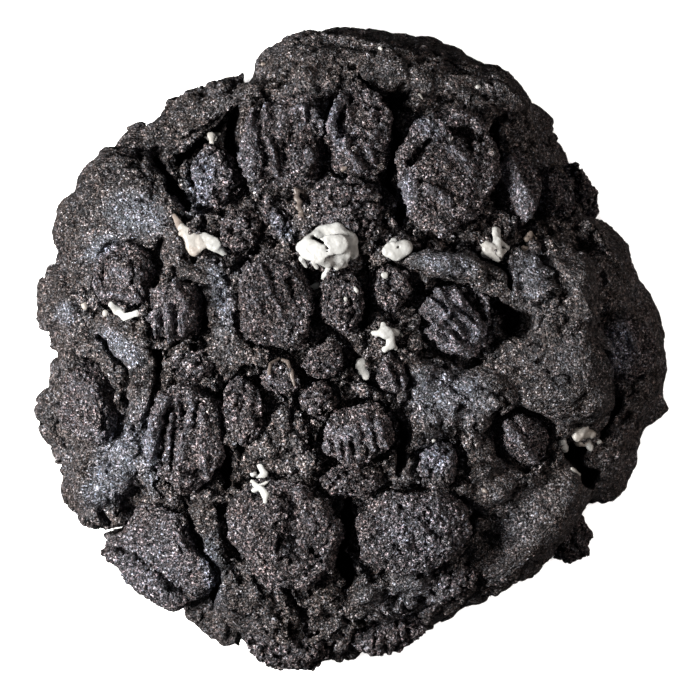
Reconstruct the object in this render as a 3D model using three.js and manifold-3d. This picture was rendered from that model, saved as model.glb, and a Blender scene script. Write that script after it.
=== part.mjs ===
// A thick round drop cookie of black cocoa dough, loaded with broken pieces of ribbed chocolate
// wafer and smears of white filling. It lies on its flat underside, with its dome up.
//
// The dough is one solid: a dome with smooth lobes and rolled folds joined on, and with cracks,
// pits and a socket for every piece cut out. Each wafer piece and each smear of filling is a solid
// of its own, and lies in its socket with a thin gap all round.
//
// Millimetres, +Z up, +Y away from the reader. The origin is the middle of the underside.

import * as THREE from 'three';
import { mergeVertices } from 'three/addons/utils/BufferGeometryUtils.js';
import { ImprovedNoise } from 'three/addons/math/ImprovedNoise.js';
import Module from 'manifold-3d';

const wasm = await Module();
wasm.setup();

// ---------------------------------------------------------------- driving dimensions

const DOME_HEIGHT = 26.5; // bare dough, without what stands proud of it
const WAIST_HEIGHT = 6.5; // height of the widest ring
const FOOT_SHARE = 0.9; // radius of the flat underside over the widest radius
const CROWN_POWER = 2.6; // a higher value gives a flatter top
const SHOULDER_POWER = 1.6; // a higher value gives fuller shoulders

// Widest radius of the dough at every 15 degrees, anticlockwise from +X.
const RIM_STEP = 15;
const RIM_RADII = [
  43.2, 41.4, 39.6, 40.8, 43.8, 44.2, 44.3, 42.4, 41.0, 41.6, 42.6, 43.2,
  41.6, 42.0, 43.8, 42.4, 42.4, 44.2, 42.8, 40.6, 39.4, 38.6, 40.4, 42.0,
];

const GAP = 0.32; // clearance round every loose piece
const FLOOR_WIDTH = 120; // block that trims everything flat at the underside
const FLOOR_DEPTH = 20;
const SOCKET_REACH = 9; // how far a socket is cut up above its piece
const RIB_PITCH = 1.55; // ribs on a wafer's rim
const RELIEF_HEIGHT = 0.6; // most that a raised pattern stands over its wafer
const LUMP_HEIGHT = 0.7; // slow unevenness of the dough
const LUMP_SPACING = 8;
const CRUMB_COUNT = 9; // crumbs baked onto the dough
const SEED = 11;

const DOME_SEGMENTS = 48;
const DOME_RINGS = 9;
const LOBE_SEGMENTS = 12;
const SMALL_LOBE_SEGMENTS = 8;
const SMALL_LOBE_SIZE = 4; // lobes of a smaller half width get the fewer segments
const PIECE_SEGMENTS = 10;
const SMALL_PIECE_SEGMENTS = 8;
const SMALL_PIECE_SIZE = 7; // pieces narrower than this get the fewer segments

// ---------------------------------------------------------------- small tools

const noise = new ImprovedNoise();

/** A repeatable stream of numbers from 0 to 1. */
function randomStream(seed) {
  let state = seed * 7919 + 17;
  return () => {
    state = (state * 16807) % 2147483647;
    return state / 2147483647;
  };
}

function smoothStep(t) {
  return (1 - Math.cos(t * Math.PI)) / 2;
}

/** The closed manifold solid of a geometry, with its shared vertices merged. */
function toSolid(geometry) {
  const bare = geometry.clone();
  bare.deleteAttribute('normal');
  bare.deleteAttribute('uv');
  const merged = mergeVertices(bare, 1e-4);
  const index = Array.from(merged.index.array);
  const triangles = [];
  for (let i = 0; i < index.length; i += 3) {
    const [a, b, c] = index.slice(i, i + 3);
    if (a !== b && b !== c && c !== a) triangles.push(a, b, c);
  }
  return new wasm.Manifold(new wasm.Mesh({
    numProp: 3,
    vertProperties: new Float32Array(merged.attributes.position.array),
    triVerts: new Uint32Array(triangles),
  }));
}

/** The body with the most material, without the loose scraps that a cut can leave. */
function largestBody(solid) {
  return solid.decompose().sort((a, b) => b.volume() - a.volume())[0];
}

function toGeometry(solid) {
  const mesh = solid.getMesh();
  const geometry = new THREE.BufferGeometry();
  geometry.setAttribute('position', new THREE.BufferAttribute(mesh.vertProperties, 3));
  geometry.setIndex(new THREE.BufferAttribute(mesh.triVerts, 1));
  geometry.computeVertexNormals();
  return geometry;
}

/** Moves every vertex of a geometry, after merging, by a function of its place. */
function reshape(geometry, move) {
  geometry.deleteAttribute('normal');
  geometry.deleteAttribute('uv');
  const merged = mergeVertices(geometry, 1e-4);
  const position = merged.attributes.position;
  const point = new THREE.Vector3();
  for (let i = 0; i < position.count; i++) {
    point.fromBufferAttribute(position, i);
    move(point);
    position.setXYZ(i, point.x, point.y, point.z);
  }
  return merged;
}

/** A body of revolution about +Z from [radius, height] pairs, listed from the bottom up. */
function turned(profile, segments) {
  const points = profile.map(([radius, height]) => new THREE.Vector2(radius, height));
  return new THREE.LatheGeometry(points, segments).rotateX(Math.PI / 2);
}

// ---------------------------------------------------------------- the dome

/** Widest radius of the dough in the direction of an angle in radians. */
function rimRadius(angle) {
  const steps = THREE.MathUtils.radToDeg(angle) / RIM_STEP + RIM_RADII.length;
  const before = Math.floor(steps);
  const share = smoothStep(steps - before);
  const radiusAt = (i) => RIM_RADII[i % RIM_RADII.length];
  return radiusAt(before) * (1 - share) + radiusAt(before + 1) * share;
}

/** Height of the smooth dome over its rim, for a share of the radius from 0 to 1. */
function domeProfile(share) {
  const fall = 1 - Math.min(share, 1) ** CROWN_POWER;
  return WAIST_HEIGHT + (DOME_HEIGHT - WAIST_HEIGHT) * fall ** (1 / SHOULDER_POWER);
}

function domeHeight(x, y) {
  return domeProfile(Math.hypot(x, y) / rimRadius(Math.atan2(y, x)));
}

/** Direction that the smooth dome faces at a place. */
function domeNormal(x, y) {
  const step = 1.5;
  const slopeX = (domeHeight(x + step, y) - domeHeight(x - step, y)) / (2 * step);
  const slopeY = (domeHeight(x, y + step) - domeHeight(x, y - step)) / (2 * step);
  return new THREE.Vector3(-slopeX, -slopeY, 1).normalize();
}

function domeSolid() {
  const profile = [[0, 0], [0.5, 0], [FOOT_SHARE, 0], [0.965, 1.3], [0.995, 3.6]];
  const rings = DOME_RINGS;
  for (let i = 0; i <= rings; i++) {
    const share = Math.cos((i / rings) * (Math.PI / 2));
    profile.push([i === rings ? 0 : share, domeProfile(share)]);
  }
  const geometry = reshape(turned(profile, DOME_SEGMENTS), (point) => {
    const radius = rimRadius(Math.atan2(point.y, point.x));
    point.x *= radius;
    point.y *= radius;
    if (point.z < 1) return;
    const spaced = point.clone().divideScalar(LUMP_SPACING);
    const lump = LUMP_HEIGHT * noise.noise(spaced.x, spaced.y, spaced.z);
    point.addScaledVector(domeNormal(point.x * 0.97, point.y * 0.97), lump);
  });
  return toSolid(geometry);
}

// ---------------------------------------------------------------- lobes, folds, cracks and pits

/** Smooth swellings of the dough: place, half sizes across and along, turn, and top over the dome. */
const LOBES = [
  { at: [-31.5, 18.0], half: [9.5, 10.5], turn: 20, rise: 1.8 }, // upper left shoulder
  { at: [26.0, 1.5], half: [10.5, 16.5], turn: 4, rise: 2.2 }, // right shoulder
  { at: [24.0, -23.5], half: [13.5, 7.5], turn: 45, rise: 2.6 }, // lower right shoulder
  { at: [-32.6, -17.5], half: [6.5, 8.5], turn: -25, rise: 1.2 }, // lower left shoulder
  { at: [16.0, -5.3], half: [7.0, 4.5], turn: 8, rise: 0.9 },
  { at: [11.5, -10.6], half: [5.0, 3.6], turn: 0, rise: 0.7 },
  { at: [6.0, 37.0], half: [12.0, 5.5], turn: -4, rise: 2.0 }, // top wall
  { at: [-5.0, 37.2], half: [8.0, 5.0], turn: 8, rise: 1.4 },
  { at: [19.0, 33.5], half: [7.5, 5.0], turn: -35, rise: 1.6 },
  { at: [31.5, 13.5], half: [5.0, 7.0], turn: 20, rise: 1.2 },
  { at: [35.5, -14.0], half: [5.0, 8.0], turn: -14, rise: 0.8 },
  { at: [-19.0, -36.5], half: [6.5, 4.2], turn: -25, rise: 1.4 },
  { at: [2.0, -33.0], half: [4.5, 5.5], turn: 0, rise: 0.6 },
  { at: [-11.5, 33.4], half: [4.0, 4.5], turn: 0, rise: 0.8 },
  { at: [-37.4, 5.6], half: [4.5, 5.0], turn: 0, rise: 1.0 },
  { at: [-23.6, 18.5], half: [3.6, 4.6], turn: 0, rise: 0.7 },
  { at: [-41.4, 7.2], half: [2.6, 5.4], turn: 0, rise: 4.0 }, // flakes round the rim
  { at: [-41.0, -10.6], half: [2.6, 6.6], turn: 12, rise: 4.0 },
  { at: [-29.8, 28.4], half: [6.2, 3.0], turn: 42, rise: 4.2 },
  { at: [-21.0, 35.0], half: [7.6, 3.0], turn: 28, rise: 4.4 },
  { at: [41.9, -7.8], half: [2.0, 1.5], turn: 0, rise: 2.2 },
  { at: [24.6, -30.6], half: [2.3, 3.0], turn: 20, rise: 2.6 },
  { at: [38.4, -17.4], half: [3.0, 5.2], turn: -20, rise: 3.0 },
];
const LOBE_DEPTH = 9;

/** Rolled ridges of the dough: the places they pass over, their width and height over the dome. */
const FOLDS = [
  { over: [[-38, 1.8], [-33.4, -1.2], [-30.4, -5.2], [-31, -9.6], [-35, -13.4]], width: 4.4, rise: 1.3 },
  { over: [[-31, 2.2], [-29.0, -1.0], [-27.2, -5.4], [-27.8, -9.2]], width: 4.0, rise: 1.2 },
  { over: [[-20.4, -19.4], [-18.6, -24.6], [-17.6, -30.0], [-16.6, -36.0]], width: 4.2, rise: 1.4 },
  { over: [[8.2, 11.4], [13.4, 12.0], [18.4, 9.8], [23.4, 5.8]], width: 4.6, rise: 1.5 },
  { over: [[-21.6, 10.6], [-17.6, 7.6], [-15.4, 3.4]], width: 3.0, rise: 0.9 },
  { over: [[5.6, -13.0], [7.0, -16.6], [6.0, -19.4]], width: 2.6, rise: 0.5 },
];

/** Deep cracks: two ends, width and depth. */
const CRACKS = [
  { from: [-16.4, 34.0], to: [-15.6, 20.6], width: 2.0, depth: 6 },
  { from: [5.6, 34.0], to: [6.0, 15.4], width: 1.8, depth: 6 },
  { from: [19.4, 30.6], to: [19.6, 17.4], width: 1.3, depth: 5 },
  { from: [7.8, 15.2], to: [22.6, 10.2], width: 1.4, depth: 4 },
  { from: [0.2, -15.4], to: [0.0, -34.0], width: 3.0, depth: 7 },
  { from: [6.2, -6.8], to: [6.2, -17.6], width: 1.8, depth: 5 },
  { from: [31.0, 14.0], to: [34.6, -12.0], width: 1.8, depth: 6 },
  { from: [-14.4, 12.6], to: [-11.4, 10.0], width: 1.8, depth: 4 },
  { from: [-5.8, 11.0], to: [-5.2, -0.6], width: 1.6, depth: 5 },
  { from: [2.2, 13.2], to: [2.0, 1.0], width: 1.4, depth: 5 },
  { from: [-16.6, -11.8], to: [-16.4, -19.0], width: 2.4, depth: 5 },
  { from: [-20.0, -20.4], to: [-18.8, -36.0], width: 1.6, depth: 6 },
  { from: [-7.0, -31.0], to: [-6.4, -39.6], width: 2.6, depth: 6 },
  { from: [31.4, -17.6], to: [22.0, -32.6], width: 1.6, depth: 4 },
  { from: [-24.0, 23.4], to: [-20.0, 20.6], width: 3.0, depth: 5 },
];

/** Hollows beside sunken wafer pieces: place, half sizes, turn, depth below the dome. */
const PITS = [
  { at: [18.6, 3.4], half: [7.4, 6.6], turn: -10, depth: 4.4 },
  { at: [22.6, -12.6], half: [5.6, 5.0], turn: -20, depth: 3.8 },
  { at: [-33.0, -6.2], half: [3.4, 6.6], turn: 10, depth: 3.0 },
  { at: [-19.4, 5.4], half: [2.6, 3.6], turn: 0, depth: 4.0 },
  { at: [-13.0, 14.0], half: [5.4, 2.0], turn: -12, depth: 3.2 },
  { at: [13.0, -1.0], half: [5.6, 1.8], turn: -14, depth: 3.0 },
];

/** A displaced ellipsoid with its middle at a point. */
function ellipsoid(middle, half, turn, segments) {
  const [halfX, halfY, halfZ] = half;
  const geometry = reshape(new THREE.SphereGeometry(1, segments, Math.round(segments * 0.6)), (point) => {
    const wave = noise.noise(point.x * 1.7 + middle[0], point.y * 1.7 + middle[1], point.z * 1.7);
    point.multiplyScalar(1 + 0.07 * wave);
  });
  geometry.scale(halfX, halfY, halfZ);
  geometry.rotateZ(THREE.MathUtils.degToRad(turn));
  geometry.translate(...middle);
  return toSolid(geometry);
}

function lobeSolid({ at: [x, y], half: [halfX, halfY], turn, rise }) {
  const top = domeHeight(x, y) + rise;
  const middle = Math.max(top - LOBE_DEPTH, WAIST_HEIGHT);
  const segments = Math.min(halfX, halfY) < SMALL_LOBE_SIZE ? SMALL_LOBE_SEGMENTS : LOBE_SEGMENTS;
  return ellipsoid([x, y, middle], [halfX, halfY, top - middle], turn, segments);
}

function pitSolid({ at: [x, y], half: [halfX, halfY], turn, depth }) {
  return ellipsoid([x, y, domeHeight(x, y) + 0.6], [halfX, halfY, depth + 0.6], turn, 9);
}

function foldSolid({ over, width, rise }) {
  const points = over.map(([x, y]) => new THREE.Vector3(x, y, domeHeight(x, y) + rise - width / 2));
  const section = new THREE.Shape();
  section.absellipse(0, 0, width / 2, width / 2, 0, Math.PI * 2);
  const geometry = new THREE.ExtrudeGeometry(section, {
    steps: over.length + 2,
    curveSegments: 4,
    extrudePath: new THREE.CatmullRomCurve3(points),
  });
  return toSolid(geometry);
}

/** A lens-shaped wedge that opens a crack along the dome from one place to another. */
function crackSolid({ from, to, width, depth }) {
  const start = new THREE.Vector3(...from, domeHeight(...from));
  const end = new THREE.Vector3(...to, domeHeight(...to));
  const along = end.clone().sub(start);
  const middle = start.clone().lerp(end, 0.5);
  const bulge = domeHeight(middle.x, middle.y) - middle.z;
  const geometry = new THREE.OctahedronGeometry(1, 0);
  geometry.scale(along.length() / 2 + 1, width / 2, depth + bulge);
  geometry.rotateY(-Math.atan2(along.z, Math.hypot(along.x, along.y)));
  geometry.rotateZ(Math.atan2(along.y, along.x));
  geometry.translate(middle.x, middle.y, middle.z + bulge);
  return toSolid(geometry);
}

/** Crumbs strewn over the dome, half sunk in it. */
function crumbSolids() {
  const random = randomStream(SEED);
  const crumbs = [];
  for (let i = 0; i < CRUMB_COUNT; i++) {
    const angle = random() * Math.PI * 2;
    const radius = rimRadius(angle) * Math.sqrt(0.1 + 0.86 * random());
    const size = 0.9 + 1.3 * random();
    const x = radius * Math.cos(angle);
    const y = radius * Math.sin(angle);
    const crumb = new THREE.IcosahedronGeometry(size, 0);
    crumb.scale(1, 0.8, 0.7);
    crumb.rotateZ(random() * Math.PI);
    crumb.translate(x, y, domeHeight(x, y) + 0.2 * size);
    crumbs.push(toSolid(crumb));
  }
  return crumbs;
}

// ---------------------------------------------------------------- wafer pieces and filling

/*
 * Each wafer piece: place, full size across and along, turn, thickness, how far its top stands over
 * the dome, and how square its outline is (2 is an oval, 4 nearly a rectangle). crown is how much
 * its top is domed, jag how ragged its edge is, lean how far it tips with the dome's slope and tip
 * an extra tilt, in degrees, about its own length and width. A piece cuts those listed after it.
 */
const WAFERS = [
  { name: 'ribbed_top', at: [-9.2, 28.0], size: [11.4, 12.2], turn: 4, rise: 1.6, square: 3.6,
    relief: [
      ['ribs', 180, 7], ['bar', -2.2, 0, 90, 7.5], ['bar', 1.2, 1.8, 90, 4], ['bar', 4.4, 0, 86, 8],
    ] },
  { name: 'oval_top', at: [1.0, 29.8], size: [8.8, 13.6], turn: 4, rise: 1.5, square: 2.2,
    relief: [['arc', 3.0, 100, 160], ['bar', 0.6, 0, 84, 6]] },
  { name: 'rough_top', at: [13.0, 24.8], size: [12.6, 18.2], turn: -3, rise: 2.0,
    square: 2.8, crown: 0.5,
    relief: [['bar', -2.6, 3.6, 35, 7], ['bar', 3.0, -2.0, 82, 9]] },
  { name: 'sliver_top_right', at: [23.2, 22.4], size: [5.8, 11.0], turn: 6, rise: 0.9,
    square: 2.6, crown: 0.4 },
  { name: 'ringed_left', at: [-31.2, 10.2], size: [8.6, 9.4], turn: 0, rise: 1.4, square: 2.1,
    relief: [['ring', 2.6]] },
  { name: 'ribbed_left', at: [-23.7, 5.8], size: [6.8, 8.4], turn: 4, rise: 1.0, square: 3.0,
    relief: [['ribs', 270, 4]] },
  { name: 'lined_right', at: [14.6, 4.4], size: [9.6, 9.8], turn: -12, rise: -0.9,
    square: 2.5, tip: [0, 8],
    relief: [['bar', -1.6, -1.6, 125, 7], ['bar', 0, 0, 125, 8], ['bar', 1.6, 1.6, 125, 7]] },
  { name: 'flat_lower_left', at: [-26.6, -27.8], size: [16.6, 18.0], turn: 38, rise: 2.4,
    square: 2.7, crown: 0.25,
    tip: [0, -6], relief: [['bar', 1.0, -3.0, -8, 10], ['bar', -1.0, 2.0, 12, 7]] },
  { name: 'dome_bottom', at: [9.4, -23.4], size: [16.0, 12.4], turn: 12, rise: 2.4,
    square: 2.3, crown: 0.7 },
  { name: 'rough_bottom', at: [-8.8, -24.4], size: [15.2, 16.4], turn: 20, rise: 1.9,
    square: 2.5, crown: 0.5,
    relief: [['bar', 3.2, 1.4, 70, 9]] },
  { name: 'ribbed_lower_left', at: [-22.0, -11.6], size: [11.0, 14.0], turn: -6, rise: 1.5, square: 2.8,
    relief: [
      ['ribs', 180, 6], ['bar', -1.4, 0, 86, 9], ['bar', 1.0, 0.4, 80, 8], ['bar', 3.2, -0.6, 84, 6],
    ] },
  { name: 'smooth_left', at: [-36.0, -7.2], size: [8.6, 12.4], turn: 0, rise: 1.7,
    square: 2.1, crown: 0.7 },
  { name: 'ribbed_middle', at: [0.8, -11.0], size: [9.8, 7.4], turn: 6, rise: 0.9, square: 2.6,
    relief: [['ribs', 270, 5]] },
  { name: 'sunken_right', at: [24.0, -12.4], size: [7.8, 6.6], turn: -28, rise: -0.6,
    square: 2.4, crown: 0.3 },
  { name: 'rough_middle', at: [-10.3, 6.8], size: [10.2, 12.0], turn: 0, rise: 1.0,
    square: 2.6, crown: 0.5,
    relief: [['bar', 1.0, 1.2, 65, 6]] },
  { name: 'under_filling', at: [-1.4, 7.0], size: [5.8, 9.6], turn: 8, rise: 1.0,
    square: 2.3, crown: 0.6 },
  { name: 'small_centre', at: [5.6, 8.8], size: [5.0, 6.2], turn: 0, rise: 0.7,
    square: 2.6, crown: 0.4 },
  { name: 'upright_centre', at: [5.4, -3.4], size: [4.4, 6.4], turn: -6, rise: 1.0,
    square: 2.4, crown: 0.5 },
  { name: 'round_centre', at: [-3.8, -1.0], size: [5.6, 5.6], turn: 0, rise: 1.3,
    square: 2.2, crown: 0.7 },
  { name: 'round_low_centre', at: [-4.2, -6.6], size: [5.8, 4.8], turn: 0, rise: 1.0,
    square: 2.2, crown: 0.7 },
  { name: 'ring_centre', at: [-9.4, -3.2], size: [5.0, 5.0], turn: 0, rise: 0.9, square: 2.2 },
  { name: 'lump_middle', at: [0.2, -17.2], size: [9.0, 4.4], turn: 0, rise: 0.6,
    square: 2.4, crown: 0.6 },
  { name: 'upright_left', at: [-14.2, -7.4], size: [5.6, 9.8], turn: 8, rise: 1.1,
    square: 2.5, crown: 0.5 },
  { name: 'lump_left', at: [-21.2, -1.9], size: [6.2, 5.0], turn: 0, rise: 1.0,
    square: 2.3, crown: 0.6 },
  { name: 'blue_lump', at: [11.6, -15.3], size: [5.4, 6.2], turn: 0, rise: 1.0,
    square: 2.2, crown: 0.7 },
  { name: 'wedge_top_left', at: [-18.6, 24.4], size: [6.4, 9.4], turn: 14, rise: 1.0,
    square: 2.6, crown: 0.4 },
  { name: 'crumbly_left', at: [-15.0, 16.6], size: [6.6, 6.0], turn: -20, rise: 1.1,
    square: 2.4, crown: 0.6 },
  { name: 'strip_top', at: [-10.0, 18.2], size: [4.2, 7.6], turn: 24, rise: 0.5,
    square: 2.6, crown: 0.3 },
  { name: 'lumps_top', at: [-0.6, 19.6], size: [9.6, 8.4], turn: 0, rise: 1.1,
    square: 2.5, crown: 0.6 },
  { name: 'right_wall', at: [37.8, 0.2], size: [7.6, 9.2], turn: 0, rise: 0.7,
    square: 2.4, crown: 0.4 },
  { name: 'upper_right_inner', at: [28.6, 22.0], size: [5.4, 7.0], turn: 30, rise: 0.9,
    square: 2.5, crown: 0.4 },
  { name: 'upper_right_rim', at: [32.6, 22.2], size: [4.0, 8.6], turn: 40, rise: 1.6,
    square: 2.8, crown: 0.2 },
  { name: 'bottom_rim', at: [-8.4, -41.2], size: [12.4, 6.4], turn: -8, rise: 1.0,
    square: 2.4, crown: 0.5 },
  { name: 'ribbed_bottom_rim', at: [5.6, -40.0], size: [11.6, 5.2], turn: 12, rise: 0.9, square: 2.6,
    relief: [['ribs', 270, 5]] },
  { name: 'rough_bottom_right', at: [14.8, -32.2], size: [8.4, 6.6], turn: 28, rise: 1.0,
    square: 2.4, crown: 0.6 },
  { name: 'lower_right_rim', at: [31.2, -25.8], size: [5.6, 7.2], turn: -40, rise: 0.9,
    square: 2.4, crown: 0.5 },
];
const WAFER_THICKNESS = 5.2;
const WAFER_DEFAULTS = { crown: 0.15, jag: 0.12, lean: 0.8, tip: [0, 0], thick: WAFER_THICKNESS };

/** Each smear of filling, with the same entries as a wafer piece. */
const FILLINGS = [
  { name: 'main', at: [-3.0, 14.0], size: [7.6, 5.6], turn: 16, rise: 2.2, jag: 0.22 },
  { name: 'small', at: [6.5, 13.8], size: [4.4, 2.7], turn: 14, rise: 1.5, jag: 0.12 },
  { name: 'streak', at: [-20.4, 15.6], size: [8.4, 2.3], turn: -40, rise: 0.9, jag: 0.16 },
  { name: 'star', at: [4.9, 2.3], size: [4.0, 3.7], turn: 0, rise: 1.2, jag: 0.28 },
  { name: 'drop', at: [1.9, -2.2], size: [1.7, 2.9], turn: 10, rise: 0.9, jag: 0.08 },
  { name: 'upper_right', at: [19.4, 14.6], size: [3.4, 4.8], turn: 10, rise: 1.3, jag: 0.24 },
  { name: 'right', at: [31.0, -11.4], size: [4.4, 3.0], turn: -6, rise: 1.9, jag: 0.22 },
  { name: 'crescent', at: [-30.6, 5.6], size: [5.6, 1.8], turn: -12, rise: 0.8, jag: 0.14 },
  { name: 'twist', at: [-11.8, -17.0], size: [2.6, 4.8], turn: 8, rise: 2.2, jag: 0.26 },
];
const FILLING_DEFAULTS = { square: 2, crown: 0.6, lean: 0.9, tip: [0, 0], thick: 2.4 };

/** Where a loose piece lies: its middle, turned on the spot and leaning with the dome. */
function seat({ at: [x, y], turn, rise, thick, lean, tip }) {
  const up = new THREE.Vector3(0, 0, 1);
  const normal = up.clone().lerp(domeNormal(x, y), lean).normalize();
  const tilt = new THREE.Quaternion().setFromUnitVectors(up, normal);
  const [tipX, tipY] = tip.map(THREE.MathUtils.degToRad);
  const heading = new THREE.Quaternion().setFromEuler(
    new THREE.Euler(tipX, tipY, THREE.MathUtils.degToRad(turn), 'ZYX'),
  );
  const middle = new THREE.Vector3(x, y, domeHeight(x, y)).addScaledVector(normal, rise - thick / 2);
  return new THREE.Matrix4().compose(middle, tilt.multiply(heading), new THREE.Vector3(1, 1, 1));
}

/**
 * A flat piece with a ragged superellipse outline, its middle at the origin. grow widens it all
 * round, and reach carries its walls straight up, which makes the socket of the same piece.
 */
function flake(piece, segments, grow = 0, reach = 0) {
  const { size, square, crown, jag, thick, at } = piece;
  const [halfX, halfY] = size.map((length) => length / 2);
  const half = thick / 2 + grow;
  const rounded = [
    [0, -half], [0.78, -half * 0.92], [1, -half * 0.2], [0.93, half * 0.8],
    [0.5, half * (1 + crown * 0.16)], [0, half * (1 + crown * 0.2)],
  ];
  const straight = [[0, -half], [1, -half], [1, half + reach], [0, half + reach]];
  return reshape(turned(reach > 0 ? straight : rounded, segments), (point) => {
    const angle = Math.atan2(point.y, point.x);
    const across = Math.abs(Math.cos(angle) / halfX) ** square;
    const along = Math.abs(Math.sin(angle) / halfY) ** square;
    const ragged = noise.noise(Math.cos(angle) * 1.9 + at[0], Math.sin(angle) * 1.9 + at[1], 0.5);
    const radius = (across + along) ** (-1 / square) * (1 + 2 * jag * ragged) + grow;
    point.x *= radius;
    point.y *= radius;
    if (reach > 0 || point.z < 0) return;
    point.z += 0.5 * crown * noise.noise(point.x * 0.45 + at[1], point.y * 0.45 + at[0], 1.5);
  });
}

/** A block on top of a piece, by its middle, turn and size. */
function block(x, y, z, turn, length, width, height) {
  const geometry = new THREE.BoxGeometry(length, width, height);
  geometry.rotateZ(THREE.MathUtils.degToRad(turn));
  return toSolid(geometry.translate(x, y, z));
}

/** The raised pattern on a wafer piece: rim ribs, a straight bar, a ring or part of one. */
const RELIEF_MAKERS = {
  ribs({ size: [sizeX, sizeY], thick }, side, count) {
    const radians = THREE.MathUtils.degToRad(side);
    const outward = [Math.cos(radians), Math.sin(radians)];
    const reach = (Math.abs(outward[0]) * sizeX + Math.abs(outward[1]) * sizeY) / 2 - 1.1;
    const ribs = [];
    for (let i = 0; i < count; i++) {
      const shift = (i - (count - 1) / 2) * RIB_PITCH;
      const bow = 0.025 * shift * shift;
      const x = outward[0] * (reach - bow) - outward[1] * shift;
      const y = outward[1] * (reach - bow) + outward[0] * shift;
      ribs.push(block(x, y, thick * 0.28, side, 2.4, RIB_PITCH * 0.55, thick * 0.5));
    }
    return ribs;
  },
  bar({ thick }, x, y, turn, length) {
    return [block(x, y, thick / 2 - 0.1, turn, length, 0.8, 1.1)];
  },
  ring({ thick }, radius) {
    return [toSolid(new THREE.TorusGeometry(radius, 0.55, 4, 11).translate(0, 0, thick / 2))];
  },
  arc({ thick }, radius, from, sweep) {
    const start = THREE.MathUtils.degToRad(from);
    const end = THREE.MathUtils.degToRad(from + sweep);
    const band = new THREE.Shape();
    band.absarc(0, 0, radius + 0.4, start, end, false);
    band.absarc(0, 0, radius - 0.4, end, start, true);
    const options = { depth: 1.1, bevelEnabled: false, curveSegments: 6 };
    return [toSolid(new THREE.ExtrudeGeometry(band, options).translate(0, 0, thick / 2 - 0.6))];
  },
};

/** A loose piece's own solid and its socket, both in place, with the matrix that places them. */
function loosePiece(piece, segments) {
  const place = seat(piece);
  let body = toSolid(flake(piece, segments));
  for (const [kind, ...sizes] of piece.relief ?? []) {
    for (const raised of RELIEF_MAKERS[kind](piece, ...sizes)) body = body.add(raised);
  }
  if (piece.relief) body = body.intersect(toSolid(flake(piece, segments, 0, RELIEF_HEIGHT)));
  const socket = toSolid(flake(piece, segments, GAP, SOCKET_REACH));
  return {
    name: piece.name,
    place,
    body: body.transform(place.elements),
    socket: socket.transform(place.elements),
  };
}

// ---------------------------------------------------------------- materials

const doughMaterial = new THREE.MeshStandardMaterial({ color: 0x1d1816, roughness: 0.62, metalness: 0 });
const waferMaterial = new THREE.MeshStandardMaterial({ color: 0x25201f, roughness: 0.8, metalness: 0 });
const fillingMaterial = new THREE.MeshStandardMaterial({ color: 0xe9e5dc, roughness: 0.55, metalness: 0 });
for (const material of [doughMaterial, waferMaterial, fillingMaterial]) material.flatShading = true;

// ---------------------------------------------------------------- assembly

const fillings = FILLINGS.map((piece) => {
  const made = loosePiece({ ...FILLING_DEFAULTS, ...piece }, SMALL_PIECE_SEGMENTS);
  return { ...made, name: `filling_${piece.name}`, material: fillingMaterial };
});
const wafers = WAFERS.map((piece) => {
  const small = Math.min(...piece.size) < SMALL_PIECE_SIZE;
  const segments = small ? SMALL_PIECE_SEGMENTS : PIECE_SEGMENTS;
  const made = loosePiece({ ...WAFER_DEFAULTS, ...piece }, segments);
  return { ...made, name: `wafer_${piece.name}`, material: waferMaterial };
});
const loosePieces = [...fillings, ...wafers];

let dough = domeSolid();
for (const lobe of LOBES) dough = dough.add(lobeSolid(lobe));
for (const fold of FOLDS) dough = dough.add(foldSolid(fold));
for (const crumb of crumbSolids()) dough = dough.add(crumb);
for (const crack of CRACKS) dough = dough.subtract(crackSolid(crack));
for (const pit of PITS) dough = dough.subtract(pitSolid(pit));
dough = dough.subtract(block(0, 0, -FLOOR_DEPTH / 2, 0, FLOOR_WIDTH, FLOOR_WIDTH, FLOOR_DEPTH));

for (let i = 0; i < loosePieces.length; i++) {
  dough = dough.subtract(loosePieces[i].socket);
  for (let j = 0; j < i; j++) {
    loosePieces[i].body = loosePieces[i].body.subtract(loosePieces[j].socket);
  }
}

const cookie = new THREE.Group();

/** A named mesh in the cookie, whose geometry is kept in its own placed frame. */
function addMesh(name, solid, material, place) {
  const geometry = toGeometry(largestBody(solid)).applyMatrix4(place.clone().invert());
  const mesh = new THREE.Mesh(geometry, material);
  mesh.name = name;
  mesh.applyMatrix4(place);
  cookie.add(mesh);
}

addMesh('cookie_dough', dough, doughMaterial, new THREE.Matrix4());
for (const { name, body, material, place } of loosePieces) addMesh(name, body, material, place);

const middle = new THREE.Box3().setFromObject(cookie, true).getCenter(new THREE.Vector3());
cookie.position.set(-middle.x, -middle.y, 0);

export default cookie;
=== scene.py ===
"""A thick black cocoa cookie with wafer pieces and white filling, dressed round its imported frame.

The dough and the wafer pieces start from the distance fields of the CAD solids on fine grids. The
fields are smoothed, joined with lobes and folds, carved by cracks and turned into meshes. The meshes
are drawn on with ribs and lines, bent as one body and roughened by layers of noise. The filling is
laid over them as soft strands, in the places of its CAD solids.
Lengths inside the script are millimetres; meshes are made in metres.
"""

import itertools
import math

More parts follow.
